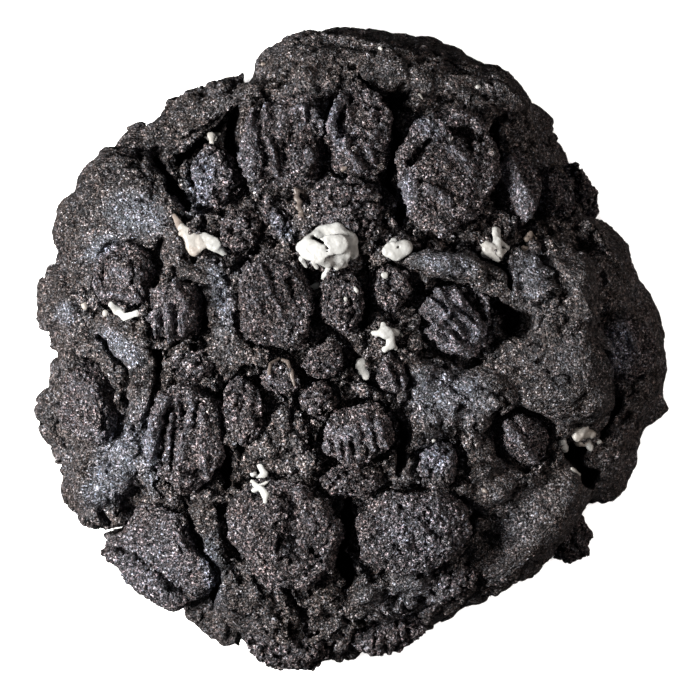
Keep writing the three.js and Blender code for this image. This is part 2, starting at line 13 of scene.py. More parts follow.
import bmesh
import bpy
import numpy as np
import openvdb
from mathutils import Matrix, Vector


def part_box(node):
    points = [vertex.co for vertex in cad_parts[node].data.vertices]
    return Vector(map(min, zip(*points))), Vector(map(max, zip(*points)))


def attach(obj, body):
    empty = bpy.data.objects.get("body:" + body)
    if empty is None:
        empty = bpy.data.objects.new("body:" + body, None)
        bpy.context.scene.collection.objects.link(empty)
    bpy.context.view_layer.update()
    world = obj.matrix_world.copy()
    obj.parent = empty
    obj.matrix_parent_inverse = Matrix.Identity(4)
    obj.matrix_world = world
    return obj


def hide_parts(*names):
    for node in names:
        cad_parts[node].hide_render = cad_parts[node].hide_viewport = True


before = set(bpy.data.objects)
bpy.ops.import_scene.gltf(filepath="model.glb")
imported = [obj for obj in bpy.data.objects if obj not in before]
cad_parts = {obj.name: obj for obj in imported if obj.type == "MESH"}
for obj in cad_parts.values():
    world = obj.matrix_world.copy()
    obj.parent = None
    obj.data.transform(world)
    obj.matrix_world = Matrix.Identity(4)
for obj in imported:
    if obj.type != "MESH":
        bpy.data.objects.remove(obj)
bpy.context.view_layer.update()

MM = 0.001
MIDDLE = np.array([0.02, -0.38])  # the places listed below are from a point this far off the origin
BAND = 3.2  # distance fields are exact this far from their surface
LOWEST = 0.05  # wafer pieces and crumbs come no nearer to the floor than this

DOUGH_CELL = 0.36
DOUGH_PAD = 2.5  # room round the solids in their grid
DOUGH_BLUR = 0.76  # the whole cookie is softened over about this length
DOUGH_SHRINK = 0.2  # the clumps stand on a surface this far inside the solids
DOUGH_TRIANGLES = 190000
SKIRT_HEIGHT = 0.7  # the underside's edge stands straight this far up
GROOVE_DEPTH = 3.6  # how deep the gap round a wafer piece goes

WAFER_CELL = 0.22
WAFER_PAD = 1.6
WAFER_BLUR = 0.22  # the edges of the solids are softened over about this length
WAFER_SHARE = 0.6  # the share of a wafer piece's triangles that is kept

FILLING_CELL = 0.14
FILLING_SHARE = 0.5  # the share of a smear's triangles that is kept

CAMERA_HEIGHT = 700.0
PICTURE_WIDTH = 96.6  # what the picture spans at the height of the floor


# ---- noise

# Every use of noise has a spacing in millimetres and a seed of its own.

PRIMES = (374761393, 668265263, 2246822519, 3266489917)


def hashed(corner, seed):
    """A repeatable number from 0 to 1 for each integer lattice point."""
    a, b, c, d = (np.uint32(prime) for prime in PRIMES)
    x, y, z = (corner[..., axis].astype(np.uint32) for axis in range(3))
    mixed = x * a + y * b + z * c + np.uint32(seed * PRIMES[3] % 2**32)
    mixed = (mixed ^ (mixed >> np.uint32(15))) * c
    mixed = (mixed ^ (mixed >> np.uint32(13))) * d
    mixed = mixed ^ (mixed >> np.uint32(16))
    return mixed.astype(np.float32) / np.float32(2**32)


def waves(points, spacing, seed, octaves=1, gain=0.5):
    """Smooth noise from -1 to 1 with waves of about the spacing, finer and weaker in each octave."""
    total = np.zeros(len(points), np.float32)
    strength = 1.0
    reach = 0.0
    for octave in range(octaves):
        scaled = points / (spacing / 2**octave) + 31.7 * octave
        base = np.floor(scaled)
        part = (scaled - base).astype(np.float32)
        ease = part * part * part * (part * (part * 6 - 15) + 10)
        base = base.astype(np.int64)
        layer = np.zeros(len(points), np.float32)
        for corner in itertools.product((0, 1), repeat=3):
            share = np.prod(np.where(corner, ease, 1 - ease), axis=1)
            layer += share * hashed(base + corner, seed + octave)
        total += strength * (layer * 2 - 1)
        reach += strength
        strength *= gain
    return total / reach


def cells(points, spacing, seed):
    """Distances to the nearest and second nearest seed point of a jittered lattice, over the spacing."""
    scaled = points / spacing
    base = np.floor(scaled).astype(np.int64)
    nearest = np.full(len(points), 9.0, np.float32)
    second = nearest.copy()
    for corner in itertools.product((-1, 0, 1), repeat=3):
        lattice = base + corner
        jitter = np.stack([hashed(lattice, seed + axis) for axis in range(3)], axis=1)
        away = np.linalg.norm(lattice + jitter - scaled, axis=1).astype(np.float32)
        second = np.minimum(second, np.maximum(nearest, away))
        nearest = np.minimum(nearest, away)
    return nearest, second


def ramp(values, low, high):
    """0 below low, 1 above high and smooth between."""
    share = np.clip((values - low) / (high - low), 0, 1)
    return share * share * (3 - 2 * share)


def drift(points, spacing, seed, octaves=1):
    """Three waves for each point, which can move it along X, Y and Z."""
    return np.stack([waves(points, spacing, seed + axis, octaves) for axis in range(3)], axis=1)


def clumps(points, spacing, seed, height, crease=0.0, width=0.2):
    """Height of rounded clumps, with creases of a depth and width between them."""
    nearest, second = cells(points, spacing, seed)
    return height * (0.5 - nearest) - crease * (1 - ramp(second - nearest, 0, width))


# ---- distance fields


class Grid:
    """A regular grid of cubes between two corners, in millimetres."""

    def __init__(self, low, high, cell):
        self.cell = cell
        self.first = np.floor(np.array(low) / cell).astype(int)
        self.shape = np.ceil(np.array(high) / cell).astype(int) - self.first + 1
        self.transform = openvdb.createLinearTransform(voxelSize=cell)

    def axes(self):
        """The three coordinates of every grid point, ready to broadcast."""
        lines = [(self.first[i] + np.arange(self.shape[i])) * self.cell for i in range(3)]
        return np.meshgrid(*[line.astype(np.float32) for line in lines], indexing="ij", sparse=True)

    def points(self, mask):
        """The places of the grid points that a mask marks, one row each."""
        return ((np.argwhere(mask) + self.first) * self.cell).astype(np.float32)

    def column(self, x, y):
        """Index of the upright column of grid points nearest to a place."""
        return tuple(int(round(value / self.cell)) - self.first[i] for i, value in enumerate((x, y)))

    def at(self, field, points):
        """A field's values at the grid points nearest to places."""
        index = np.rint(points / self.cell).astype(int) - self.first
        return field[tuple(np.clip(index, 0, np.array(self.shape) - 1).T)]


def mesh_values(layer, name, width=3, kind=np.float32):
    """An array with one row, or one number, for each entry of a mesh layer."""
    values = np.empty(len(layer) * width, kind)
    layer.foreach_get(name, values)
    return values.reshape(-1, width) if width > 1 else values


def node_distance(node, grid):
    """Signed distance to a CAD solid, in millimetres, negative inside, at every grid point."""
    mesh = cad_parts[node].data
    mesh.calc_loop_triangles()
    level = openvdb.FloatGrid.createLevelSetFromPolygons(
        mesh_values(mesh.vertices, "co") / MM,
        triangles=mesh_values(mesh.loop_triangles, "vertices", kind=np.int32).astype(np.uint32),
        transform=grid.transform,
        halfWidth=BAND / grid.cell,
    )
    values = np.empty(grid.shape, np.float32)
    level.copyToArray(values, ijk=tuple(int(i) for i in grid.first))
    return values


def blurred(values, radius, grid):
    """A field smoothed over about the radius, by three running means along each axis."""
    half = max(1, round(radius / grid.cell))
    width = 2 * half + 1
    for axis in (0, 1, 2):
        for _ in range(3):
            padding = [(half + 1, half) if i == axis else (0, 0) for i in range(3)]
            sums = np.cumsum(np.pad(values, padding, mode="edge"), axis=axis, dtype=np.float64)
            upper = np.take(sums, range(width, sums.shape[axis]), axis=axis)
            lower = np.take(sums, range(sums.shape[axis] - width), axis=axis)
            values = ((upper - lower) / width).astype(np.float32)
    return values


def joined(a, b, blend):
    """Union of two fields with a rounded crease."""
    share = np.clip(0.5 + 0.5 * (b - a) / blend, 0, 1)
    return b + (a - b) * share - blend * share * (1 - share)


def carved(a, b, blend):
    """Field a without field b, with a rounded edge."""
    return -joined(-a, b, blend)


def surface(values, grid):
    """Points in millimetres and quads of a field's zero surface."""
    level = openvdb.FloatGrid(BAND)
    level.transform = grid.transform
    level.copyFromArray(values, ijk=tuple(int(i) for i in grid.first))
    points, _, quads = level.convertToPolygons(isovalue=0.0, adaptivity=0.0)
    return points.astype(np.float64), quads.astype(np.int64)


def largest_part(points, quads):
    """The connected part with the most points, without loose scraps."""
    label = np.arange(len(points))
    edges = np.concatenate([quads[:, [i, (i + 1) % 4]] for i in range(4)])
    while True:
        before = label.copy()
        low = np.minimum(label[edges[:, 0]], label[edges[:, 1]])
        np.minimum.at(label, edges[:, 0], low)
        np.minimum.at(label, edges[:, 1], low)
        label = label[label]
        if np.array_equal(before, label):
            break
    kept = label == np.bincount(label).argmax()
    number = np.cumsum(kept) - 1
    return points[kept], number[quads[kept[quads[:, 0]]]]


def normals_of(points, quads):
    corners = points[quads]
    facing = np.cross(corners[:, 2] - corners[:, 0], corners[:, 3] - corners[:, 1])
    normals = np.zeros_like(points)
    for i in range(4):
        np.add.at(normals, quads[:, i], facing)
    return normals / np.maximum(np.linalg.norm(normals, axis=1, keepdims=True), 1e-12)


def linked_object(name, data):
    made = bpy.data.objects.new(name, data)
    bpy.context.scene.collection.objects.link(made)
    return made


def mesh_object(name, points, faces, material):
    mesh = bpy.data.meshes.new(name)
    mesh.vertices.add(len(points))
    mesh.vertices.foreach_set("co", (points * MM).astype(np.float32).ravel())
    mesh.loops.add(faces.size)
    mesh.loops.foreach_set("vertex_index", faces.astype(np.int32).ravel())
    mesh.polygons.add(len(faces))
    mesh.polygons.foreach_set("loop_start", np.arange(len(faces), dtype=np.int32) * faces.shape[1])
    mesh.polygons.foreach_set("use_smooth", np.ones(len(faces), bool))
    mesh.update(calc_edges=True)
    mesh.materials.append(material)
    return linked_object(name, mesh)


def thinned(piece, ratio):
    """Collapses the edges that matter least until this share of the triangles is left."""
    modifier = piece.modifiers.new("thin", "DECIMATE")
    modifier.ratio = ratio
    evaluated = piece.evaluated_get(bpy.context.evaluated_depsgraph_get())
    thin = bpy.data.meshes.new_from_object(evaluated)
    piece.modifiers.remove(modifier)
    full = piece.data
    piece.data = thin
    bpy.data.meshes.remove(full)
    thin.name = piece.name


def finished(piece, slot, nodes=(), share=None, **layers):
    """Paints layers of numbers, which the materials read, thins the mesh and adds it to the frame."""
    for name, values in layers.items():
        attribute = piece.data.attributes.new(name, "FLOAT", "POINT")
        attribute.data.foreach_set("value", values.astype(np.float32))
    if share is not None:
        thinned(piece, share)
    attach(piece, "root")
    if nodes:
        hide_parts(*nodes)
    return piece


# How far the rim stands out or in, in millimetres, at every ten degrees from +X towards +Y.
RIM_SHIFTS = (
    (0.9, -0.2, 0.7, -1.7, 0.5, 0.5, -0.5, 0.3, 0.2)
    + (0.4, 1.7, -0.6, -1.5, -0.8, -0.5, -3.5, -0.7, -1.4)
    + (-0.3, 0.3, -1.0, -0.9, -1.4, -1.6, -2.1, -0.6, 0.2)
    + (-1.2, -0.6, -0.7, -1.6, -1.5, -1.0, -2.2, -2.2, 1.1)
)
RIM_REACH = (24, 42)  # the rim's shift fades in between these distances from the middle


def bent(points):
    """The one slow, uneven bend that all pieces share, so that their outlines wander together."""
    sway = 0.6 * drift(points, 6.5, 901) + 0.35 * drift(points, 2.4, 911)
    lifted = ramp(points[:, 2], 0.3, 3.0)[:, None]
    angle = np.degrees(np.arctan2(points[:, 1], points[:, 0])) % 360
    marks = np.arange(len(RIM_SHIFTS) + 1) * 360 / len(RIM_SHIFTS)
    shift = np.interp(angle, marks, (*RIM_SHIFTS, RIM_SHIFTS[0]))
    reach = np.hypot(points[:, 0], points[:, 1])
    outward = np.stack((points[:, 0], points[:, 1], 0 * reach), axis=1) / np.maximum(reach, 1)[:, None]
    return points + sway * lifted + (shift * ramp(reach, *RIM_REACH))[:, None] * outward


# ---- materials


def new_material(name):
    material = bpy.data.materials.new(name)
    material.use_nodes = True
    tree = material.node_tree
    tree.nodes.clear()
    shader = add_node(tree, "BsdfPrincipled", {})
    add_node(tree, "OutputMaterial", {0: shader.outputs[0]})
    return material, tree, shader


def feed(tree, node, inputs):
    """Links a node's inputs to other nodes' outputs, or gives them plain values."""
    for key, value in inputs.items():
        if isinstance(value, bpy.types.NodeSocket):
            tree.links.new(value, node.inputs[key])
        else:
            node.inputs[key].default_value = value


def add_node(tree, kind, inputs, **settings):
    node = tree.nodes.new("ShaderNode" + kind)
    for name, value in settings.items():
        setattr(node, name, value)
    feed(tree, node, inputs)
    return node


def noise_value(tree, scale, detail=2.0, roughness=0.5, stretch=(1, 1, 1)):
    """A noise texture over the object's own place, with its scale per millimetre."""
    place = add_node(tree, "TexCoord", {}).outputs["Object"]
    inputs = {"Scale": scale / MM, "Detail": detail, "Roughness": roughness}
    inputs["Vector"] = add_node(tree, "Mapping", {0: place, "Scale": stretch}).outputs[0]
    return add_node(tree, "TexNoise", inputs).outputs[0]


def grain_cells(tree, scale):
    """Crumb grains: how far from a grain's middle a point is, and three random levels of the grain."""
    place = add_node(tree, "TexCoord", {}).outputs["Object"]
    grains = add_node(tree, "TexVoronoi", {"Scale": scale / MM, "Vector": place}).outputs
    return grains["Distance"], add_node(tree, "SeparateColor", {0: grains["Color"]}).outputs


def color_ramp(tree, source, *stops):
    """Colours or greys, each with its place on the source's scale."""
    node = add_node(tree, "ValToRGB", {0: source})
    elements = node.color_ramp.elements
    while len(elements) < len(stops):
        elements.new(0.5)
    for element, (place, color) in zip(elements, stops):
        element.position = place
        element.color = (*color, 1) if isinstance(color, tuple) else (color, color, color, 1)
    return node.outputs[0]


def mixed_color(tree, share, a, b, mode="MIX"):
    inputs = {0: share, 6: a, 7: b}
    return add_node(tree, "Mix", inputs, data_type="RGBA", blend_type=mode).outputs[2]


def product(tree, a, b):
    return mixed_color(tree, 1.0, a, b, "MULTIPLY")


def attribute_value(tree, name):
    return add_node(tree, "Attribute", {}, attribute_name=name).outputs["Fac"]


def add_bump(tree, shader, strength, *layers):
    """Bumps over one another, each with a height and its depth in millimetres, all equally strong."""
    below = {}
    for height, depth in layers:
        inputs = {"Distance": depth * MM, "Strength": strength, "Height": height, **below}
        below = {"Normal": add_node(tree, "Bump", inputs).outputs[0]}
    feed(tree, shader, below)


CRUMBLY_STEPS = (0.41, 0.49, 0.57, 0.68)  # where the tones of crumbly places lie in the noise
SMOOTH_STEPS = (0.38, 0.49, 0.58, 0.69)
STREAK_STRETCH = (0.7, 1.5, 1.0)  # the streaks on smooth dough are longer along X
# Painted sheen: oily places are painted paler and bluish, the driest ones browner and darker.
PAINTED_SHEEN_CAST = (0.14, (0.80, 0.73, 0.67)), (0.28, (1.0, 0.97, 0.96)), (0.75, (1.22, 1.31, 1.48))
SPECULAR_TINT = (0.84, 0.91, 1.0, 1)


def granular_material(name, scale, tones, smooth_tones, cast, gloss, depths):
    """Grains: black pits between them, a few pale ones, all with a bumpy relief. On crumbly places the
    tones follow the bump's heights, so the black pits are painted shade and the palest grains are
    painted glints; on smooth places the palest grains are painted glints too.

    Smooth areas are finer and more even. Oily ones have a painted bluish sheen in their colour and a
    higher specular level, the others are browner, and the bottoms of cavities are painted black as
    painted shade. The depths are those of clumps, noise and grains.
    """
    material, tree, shader = new_material(name)
    smooth = attribute_value(tree, "smooth")
    grain = noise_value(tree, scale, 2, 0.75)
    fine = noise_value(tree, 1.35 * scale, 2, 0.7)
    # Painted shade and glints: the crumbly tones follow the bump's grain noise, near black in its hollows
    # and palest on its tops; the palest smooth tones are painted glints.
    crumbly_tone = color_ramp(tree, grain, *zip(CRUMBLY_STEPS, tones))
    smooth_tone = color_ramp(tree, fine, *zip(SMOOTH_STEPS, smooth_tones))
    color = mixed_color(tree, smooth, crumbly_tone, smooth_tone)
    away, (tint, shine, hue) = grain_cells(tree, scale)
    crumbly_each = color_ramp(tree, tint, (0.0, 0.15), (0.5, 0.74), (0.8, 1.2), (1.0, 1.75))
    smooth_each = color_ramp(tree, tint, (0.0, 0.28), (0.5, 0.84), (1.0, 1.8))
    color = product(tree, color, mixed_color(tree, smooth, crumbly_each, smooth_each))
    color = product(tree, color, color_ramp(tree, hue, *cast))
    # Painted sheen: the oily layer, mixed with some noise, makes the colour paler and bluer and raises the
    # specular level.
    oil = mixed_color(tree, 0.4, attribute_value(tree, "oil"), noise_value(tree, 0.3, 3, 0.6))
    color = product(tree, color, color_ramp(tree, oil, *PAINTED_SHEEN_CAST))
    streaks = noise_value(tree, 0.8, 3, 0.7, STREAK_STRETCH)
    streaked = product(tree, color, color_ramp(tree, streaks, (0.38, 0.5), (0.5, 1.0), (0.64, 1.5)))
    color = mixed_color(tree, smooth, color, streaked)
    mottle = noise_value(tree, 1.5, 2, 0.6)
    color = product(tree, color, color_ramp(tree, mottle, (0.36, 0.5), (0.5, 1.0), (0.64, 1.55)))
    # Painted shade: colour and specular level darken nearly to black in cavities and in the places listed
    # as darker.
    shade = color_ramp(tree, attribute_value(tree, "cavity"), (0.1, 1.0), (0.7, 0.06))
    sheen = color_ramp(tree, oil, (0.16, 0.2), (0.32, 0.5), (0.75, 1.0))
    looks = {"Base Color": product(tree, color, shade), "Specular IOR Level": product(tree, sheen, shade)}
    looks["Roughness"] = color_ramp(tree, shine, *zip((0.0, 1.0), gloss))
    feed(tree, shader, {**looks, "Specular Tint": SPECULAR_TINT})
    clump, _ = grain_cells(tree, 0.42 * scale)
    clump_top, grain_top = (color_ramp(tree, middle, (0.0, 1.0), (0.9, 0.0)) for middle in (clump, away))
    strength = color_ramp(tree, smooth, (0.0, 1.0), (1.0, 0.7))
    add_bump(tree, shader, strength, *zip((clump_top, grain, grain_top), depths))
    return material


def filling_material():
    """White filling: soft and slightly waxy, stained pinkish and then brown where dough has mixed in."""
    material, tree, shader = new_material("white_filling")
    cloudy = noise_value(tree, 0.7, 3)
    white = color_ramp(tree, cloudy, (0.3, (0.30, 0.30, 0.29)), (0.7, (0.40, 0.405, 0.40)))
    stain = (0.0, 1.0), (0.5, (0.80, 0.73, 0.68)), (0.8, (0.56, 0.46, 0.41)), (1.0, (0.24, 0.19, 0.17))
    color = product(tree, white, color_ramp(tree, attribute_value(tree, "stain"), *stain))
    feed(tree, shader, {"Base Color": color, "Roughness": 0.42, "Specular IOR Level": 0.4})
    add_bump(tree, shader, 0.6, (noise_value(tree, 1.4, 3), 0.2))
    return material


# Black cocoa dough: crumbly, or smooth with an oily bluish sheen that is partly painted into its colour,
# and dark brown between.
DOUGH = granular_material(
    "black_cocoa_dough",
    scale=3.3,
    # The palest tones, here and in smooth_tones, are painted glints.
    tones=((0.003, 0.0025, 0.002), (0.072, 0.062, 0.056), (0.25, 0.238, 0.24), (0.66, 0.67, 0.71)),
    smooth_tones=((0.003, 0.002, 0.002), (0.036, 0.031, 0.028), (0.112, 0.107, 0.107), (0.46, 0.47, 0.51)),
    cast=((0.0, (0.88, 0.97, 1.12)), (0.5, (1.0, 0.985, 1.0)), (1.0, (1.10, 0.95, 0.96))),
    gloss=(0.3, 0.55),
    depths=(0.5, 0.8, 0.3),
)
# Dry wafer crumb: sandy, nearly black, with paler and faintly purple-brown grains.
WAFER = granular_material(
    "black_wafer_crumb",
    scale=3.5,
    # The palest tones, here and in smooth_tones, are painted glints.
    tones=((0.003, 0.002, 0.002), (0.084, 0.076, 0.074), (0.262, 0.25, 0.258), (0.60, 0.60, 0.64)),
    smooth_tones=((0.012, 0.010, 0.010), (0.09, 0.080, 0.077), (0.21, 0.20, 0.205), (0.48, 0.475, 0.50)),
    cast=((0.0, (0.86, 0.96, 1.14)), (0.5, (1.0, 0.975, 1.0)), (1.0, (1.13, 0.93, 0.99))),
    gloss=(0.38, 0.65),
    depths=(0.45, 0.9, 0.3),
)
FILLING = filling_material()


# ---- the forms of the dough

# Smooth swellings: place, half sizes, turn in degrees and rise over the dough beside them.
LOBES = [
    # upper left shoulder
    ((-31.6, 18), (9.3, 10.3), 20, 0.9), ((-33.2, 21.5), (5.9, 3.6), 35, 0.6),
    # right shoulder
    ((26.9, -2.6), (7.8, 8.2), -20, 0.9), ((31, -5.6), (3.8, 5.4), 5, 0.8),
    ((30.4, 7.8), (2.7, 5.7), 8, 0.8), ((24.1, 9.8), (3.4, 4.2), 15, 0.4),
    # lower right shoulder
    ((25.2, -21.6), (10.6, 6.6), 52, 0.9), ((19.4, -27.6), (4.2, 3.4), 30, 0.2),
    # lower left shoulder
    ((-31.3, -14.7), (2.8, 6.4), -20, 1), ((-36, -18.3), (3.2, 4.3), -12, 0.6),
    # right of the centre
    ((17.6, -5.4), (5.8, 3.6), -14, 0.8), ((12.6, -6.6), (3.8, 2.2), -40, 0.8),
    ((10.6, -9.6), (2.4, 1.8), 0, 0.5), ((9.2, -3.4), (1.9, 3.6), 20, 0.6),
    ((17.8, -14.6), (2.8, 4), -20, 0.6), ((19.2, -18.4), (3.6, 2.8), 10, 0.5),
    # top wall
    ((-5.7, 36.2), (2.4, 3.5), 12, 0.7), ((-1.1, 38.7), (4.6, 2), 0, 0.6),
    ((2.4, 36.6), (1.5, 2.6), 35, 0.9), ((5.6, 38.4), (2.4, 3), 25, 0.9),
    ((9.8, 37.1), (3.5, 2.4), -20, 0.6), ((-8.9, 38.7), (3.2, 1.6), 15, 0.5),
    ((15.2, 37.6), (5.6, 2.6), -20, 0.7), ((20.4, 35.2), (4.6, 3.2), -45, 0.6),
    ((16.4, 34), (4.4, 2), -14, 0.4), ((25.1, 32), (2.9, 1.6), -55, 0.5),
    # right skirt
    ((35, 11.9), (2.1, 4.6), 12, 0.5), ((37.4, 4.6), (2, 4.4), 5, 0.5),
    ((35.7, -15.7), (2.9, 4.3), -12, 0.5),
    # lower left skirt, left rim and upper left
    ((-16.4, -34), (6.2, 3.5), -32, 0.6), ((-39.3, 7.8), (2.3, 4.3), 5, 0.5),
    ((-23.9, 14), (2.5, 3.4), -30, 0.6), ((-30.1, 28.2), (2.9, 1.5), 25, 0.4),
    # low lumps at the bottom
    ((2.6, -33.4), (2.6, 2), 20, 0.3), ((8.4, -31), (2.8, 2.2), 10, 0.3),
    ((14.6, -29.4), (2.4, 2), 30, 0.3), ((12.4, -33.2), (2, 1.5), 20, 0.3),
]
LOBE_DEPTH = 9.0
LOBE_LOWEST = 6.5  # a lobe's middle lies no lower than this
LOBE_SQUARENESS = 2.5  # 2 is an ellipsoid, more is flatter on top and steeper at the sides
LOBE_BLEND = 0.6  # how wide the rounded crease round the lobes and folds is
CALM_SIDE = math.radians(20)  # the side wall that faces this way has lower clumps than the rest
CALMNESS = 0.75  # the share of the clumps' height that this wall lacks
RELIEF_REACH = 2.4  # clumps and dents are worked out this far from the surface

# Rolled ridges: the places they pass over, width and rise.
FOLDS = [
    (((-38.7, 3.4), (-35.6, 1.6), (-32.7, -0.6), (-31.2, -2.9), (-30.8, -5.7), (-31.6, -8.2)), 2.3, 1.3),
    (((-32, -9.4), (-34, -11.8), (-36.2, -14)), 2, 1.2),
    (((-33.6, 4.4), (-31, 1.9), (-28.8, -1.2), (-27.6, -5.2), (-27.4, -8.5)), 3.4, 1.2),
    (((-20.7, -19), (-19.2, -23.8), (-17.9, -28.3), (-18.3, -32.4), (-17.9, -35)), 3.6, 0.9),
    (((8.2, 11.9), (12.7, 12.1), (17.1, 10.8), (20.7, 8.4), (23.2, 6)), 4.4, 1.1),
    (((-23.1, 11.9), (-20.2, 10.3), (-18.4, 6.8), (-17.2, 2.1), (-16.4, -2.6)), 2.5, 0.7),
    (((-23.4, 7.8), (-22.7, 9.7), (-21.2, 10.8)), 1.5, 0.5),
    (((-28.6, 28.4), (-24.2, 32), (-20.2, 34.2), (-16.2, 35.6)), 3.2, 1.3),
    (((-35.4, 9.2), (-35.8, 11.9), (-34.6, 14.1), (-32.2, 15.3), (-29.8, 14.8)), 1.8, 0.7),
    (((-11.5, 38.7), (-8.2, 40.6), (-2.7, 41.6), (3.3, 41.2), (8.4, 39.6)), 2, 0.6),
    (((-8.8, 38.2), (-4.6, 38.6), (-1, 39.9), (2.6, 39.4)), 1.4, 0.6),
    (((-9.6, 33.4), (-6.8, 34.6), (-5.6, 36.8)), 1.6, 0.5),
    (((9.8, 39), (14, 37.2), (18.2, 36.4), (21.6, 34)), 1.6, 0.6),
    (((-12.6, 18), (-10.4, 18.2), (-8.9, 16.6), (-8.6, 14.4)), 2.2, 0.6),
    (((-14.6, 20.4), (-12.4, 17.6)), 1.3, 0.4), (((5.6, -12.9), (6.9, -16.5), (6, -19.4)), 2.6, 0.5),
    (((28.1, 12.4), (29.9, 8.8), (31.3, 4.4), (32.4, -0.2)), 3, 0.7),
]

# Cracks and creases: the places they run through, width and depth.
CRACKS = [
    (((-15.2, 34.2), (-16.4, 29.5), (-15.7, 24.2), (-14.1, 20.8)), 1.9, 6),
    (((5.3, 35.2), (6, 31.2), (5.7, 26.9), (5, 23.1), (6.2, 19.8), (6.9, 16.1)), 1.6, 6),
    (((19.4, 31.2), (19.5, 27.5), (19.6, 23.4), (19.2, 19.2)), 1.3, 5),
    (((10, 14.8), (15.7, 14), (19.8, 11.9), (21.9, 8.4)), 1, 3.5),
    (((0.2, -15.5), (-0.1, -22.2), (-0.7, -27.5), (0.2, -32.9)), 2.2, 7),
    (((5.6, -6.1), (6.9, -11.5), (6, -16.5)), 1.4, 5),
    (((33.4, 11.9), (34.2, 7.3), (33.8, 3.4)), 1, 2.5),
    (((33.2, 0.7), (35, -2.3), (36.1, -5.6), (35.8, -12)), 1.2, 4),
    (((-16.4, 13.6), (-11.9, 13.9)), 1.7, 4),
    (((-6.4, 11.9), (-6.1, 7.4), (-3.4, 4.1), (-0.1, 1.4), (1.8, -2.9), (5.8, -6.9)), 1.3, 5),
    (((2.1, 13.9), (2.3, 8.4), (1.5, 2.5)), 1.1, 5),
    (((-17.2, -11.6), (-15.9, -14.8), (-16.4, -18.3)), 1.8, 5),
    (((-22.4, -19.8), (-20.7, -25.4), (-19.4, -30.5), (-19.4, -35.8)), 1.2, 5),
    (((-8.9, -29.9), (-7.8, -33.2), (-6.1, -35.4)), 1.2, 4), (((-24.9, -17.2), (-20.2, -19.6)), 1.2, 4),
    (((-25.5, 0.7), (-25.5, -3.3), (-26.1, -6.9)), 1.3, 4),
    (((-26.9, 27.1), (-25.8, 24.9), (-24.2, 23.4), (-22.7, 21.5), (-22, 19.4)), 1.7, 5),
    (((-20.6, 8.4), (-20, 5.2), (-20.7, 1.9)), 1.5, 4),
    (((-23.4, 26), (-20.8, 28.2), (-18.4, 30.4), (-16.6, 32.6), (-15.4, 34.4)), 2.3, 5),
    (((29.2, -13.4), (31.4, -14), (33.6, -13.2)), 2.6, 6),
    (((31.6, -13.8), (33, -16.2), (33.6, -18.8)), 3.2, 6),
    (((-27.6, 26.4), (-23.4, 29.4), (-19.6, 31.8), (-17, 33.4)), 0.9, 2.2),
    (((1.5, 37.1), (2.9, 35.4), (4.8, 34.5), (6.4, 34)), 1.4, 4),
    (((-17, -20), (-15.7, -24.6), (-14.4, -28.3)), 1.1, 4),
    (((-34.4, 2.9), (-31.3, 0), (-29.6, -2.9), (-29.4, -6.2), (-30.2, -9)), 1.1, 4),
    (((-34.6, -1.4), (-32.8, -3.4), (-32.3, -6.4), (-33.2, -9.4), (-35.4, -12.6)), 1.5, 4.5),
    (((-31, -10.4), (-33, -13.2), (-35.6, -16.4)), 0.8, 2.5),
    (((26.5, 13.5), (27.5, 10.8), (27.3, 8)), 0.6, 1.2),
    (((19, -6.9), (19.2, -10), (20.8, -13.3), (24.1, -16.3)), 1.2, 4),
    (((10.9, -3.3), (13.4, -5), (16.2, -7.2)), 0.5, 1.4), (((14.6, -12.6), (15.2, -16.4)), 1.1, 3),
    (((9.8, 2.1), (12, 0.1), (15.3, -1.4), (19.4, -0.9)), 1.5, 4),
    (((12.8, 9.3), (16.7, 8.4), (19.8, 6.8), (22.7, 4.6)), 1.5, 4),
    (((-33.6, -12.8), (-32.9, -14.4), (-33.6, -16.5)), 0.6, 1.2),
    (((10.7, 38.7), (14, 37.7), (17.4, 38.4)), 0.5, 1),
    (((-26.9, 15.3), (-26.3, 11.9), (-27.1, 8.8)), 1.3, 4),
]

CRACK_SWAY = 0.7  # how far cracks wander
CRACK_UNEVENNESS = 0.6  # how much their width varies, as a share of it

# Hollows: place, half sizes, turn and depth.
PITS = [
    ((21.6, 4.1), (2.7, 2), -20, 2.2), ((23.2, -11.6), (4.6, 3.9), -35, 1.6),
    ((-13.1, 14), (5.1, 1.7), -12, 2.4), ((-18.6, 29.4), (4.8, 2.7), 38, 4),
    ((32.1, 16), (2.1, 2.4), 20, 2), ((-4.8, -37.5), (3.6, 1.9), -10, 1.8),
    ((-30.4, -21.8), (2.4, 1.7), 0, 1.6),
]
PIT_LIFT = 1.0  # how far a hollow's middle lies over the surface

# Places where the lobes are crumbly too: place, half sizes, turn and how crumbly they are.
CRUMBLY = [
    ((24.4, -20.4), (8.4, 5.6), 52, 0.75), ((12.4, -6), (5, 4), 0, 0.5), ((28, 6), (5, 8), 0, 0.4),
    ((34, -16), (4, 6), 0, 0.4), ((-8, 35), (5, 5), 0, 0.4),
]

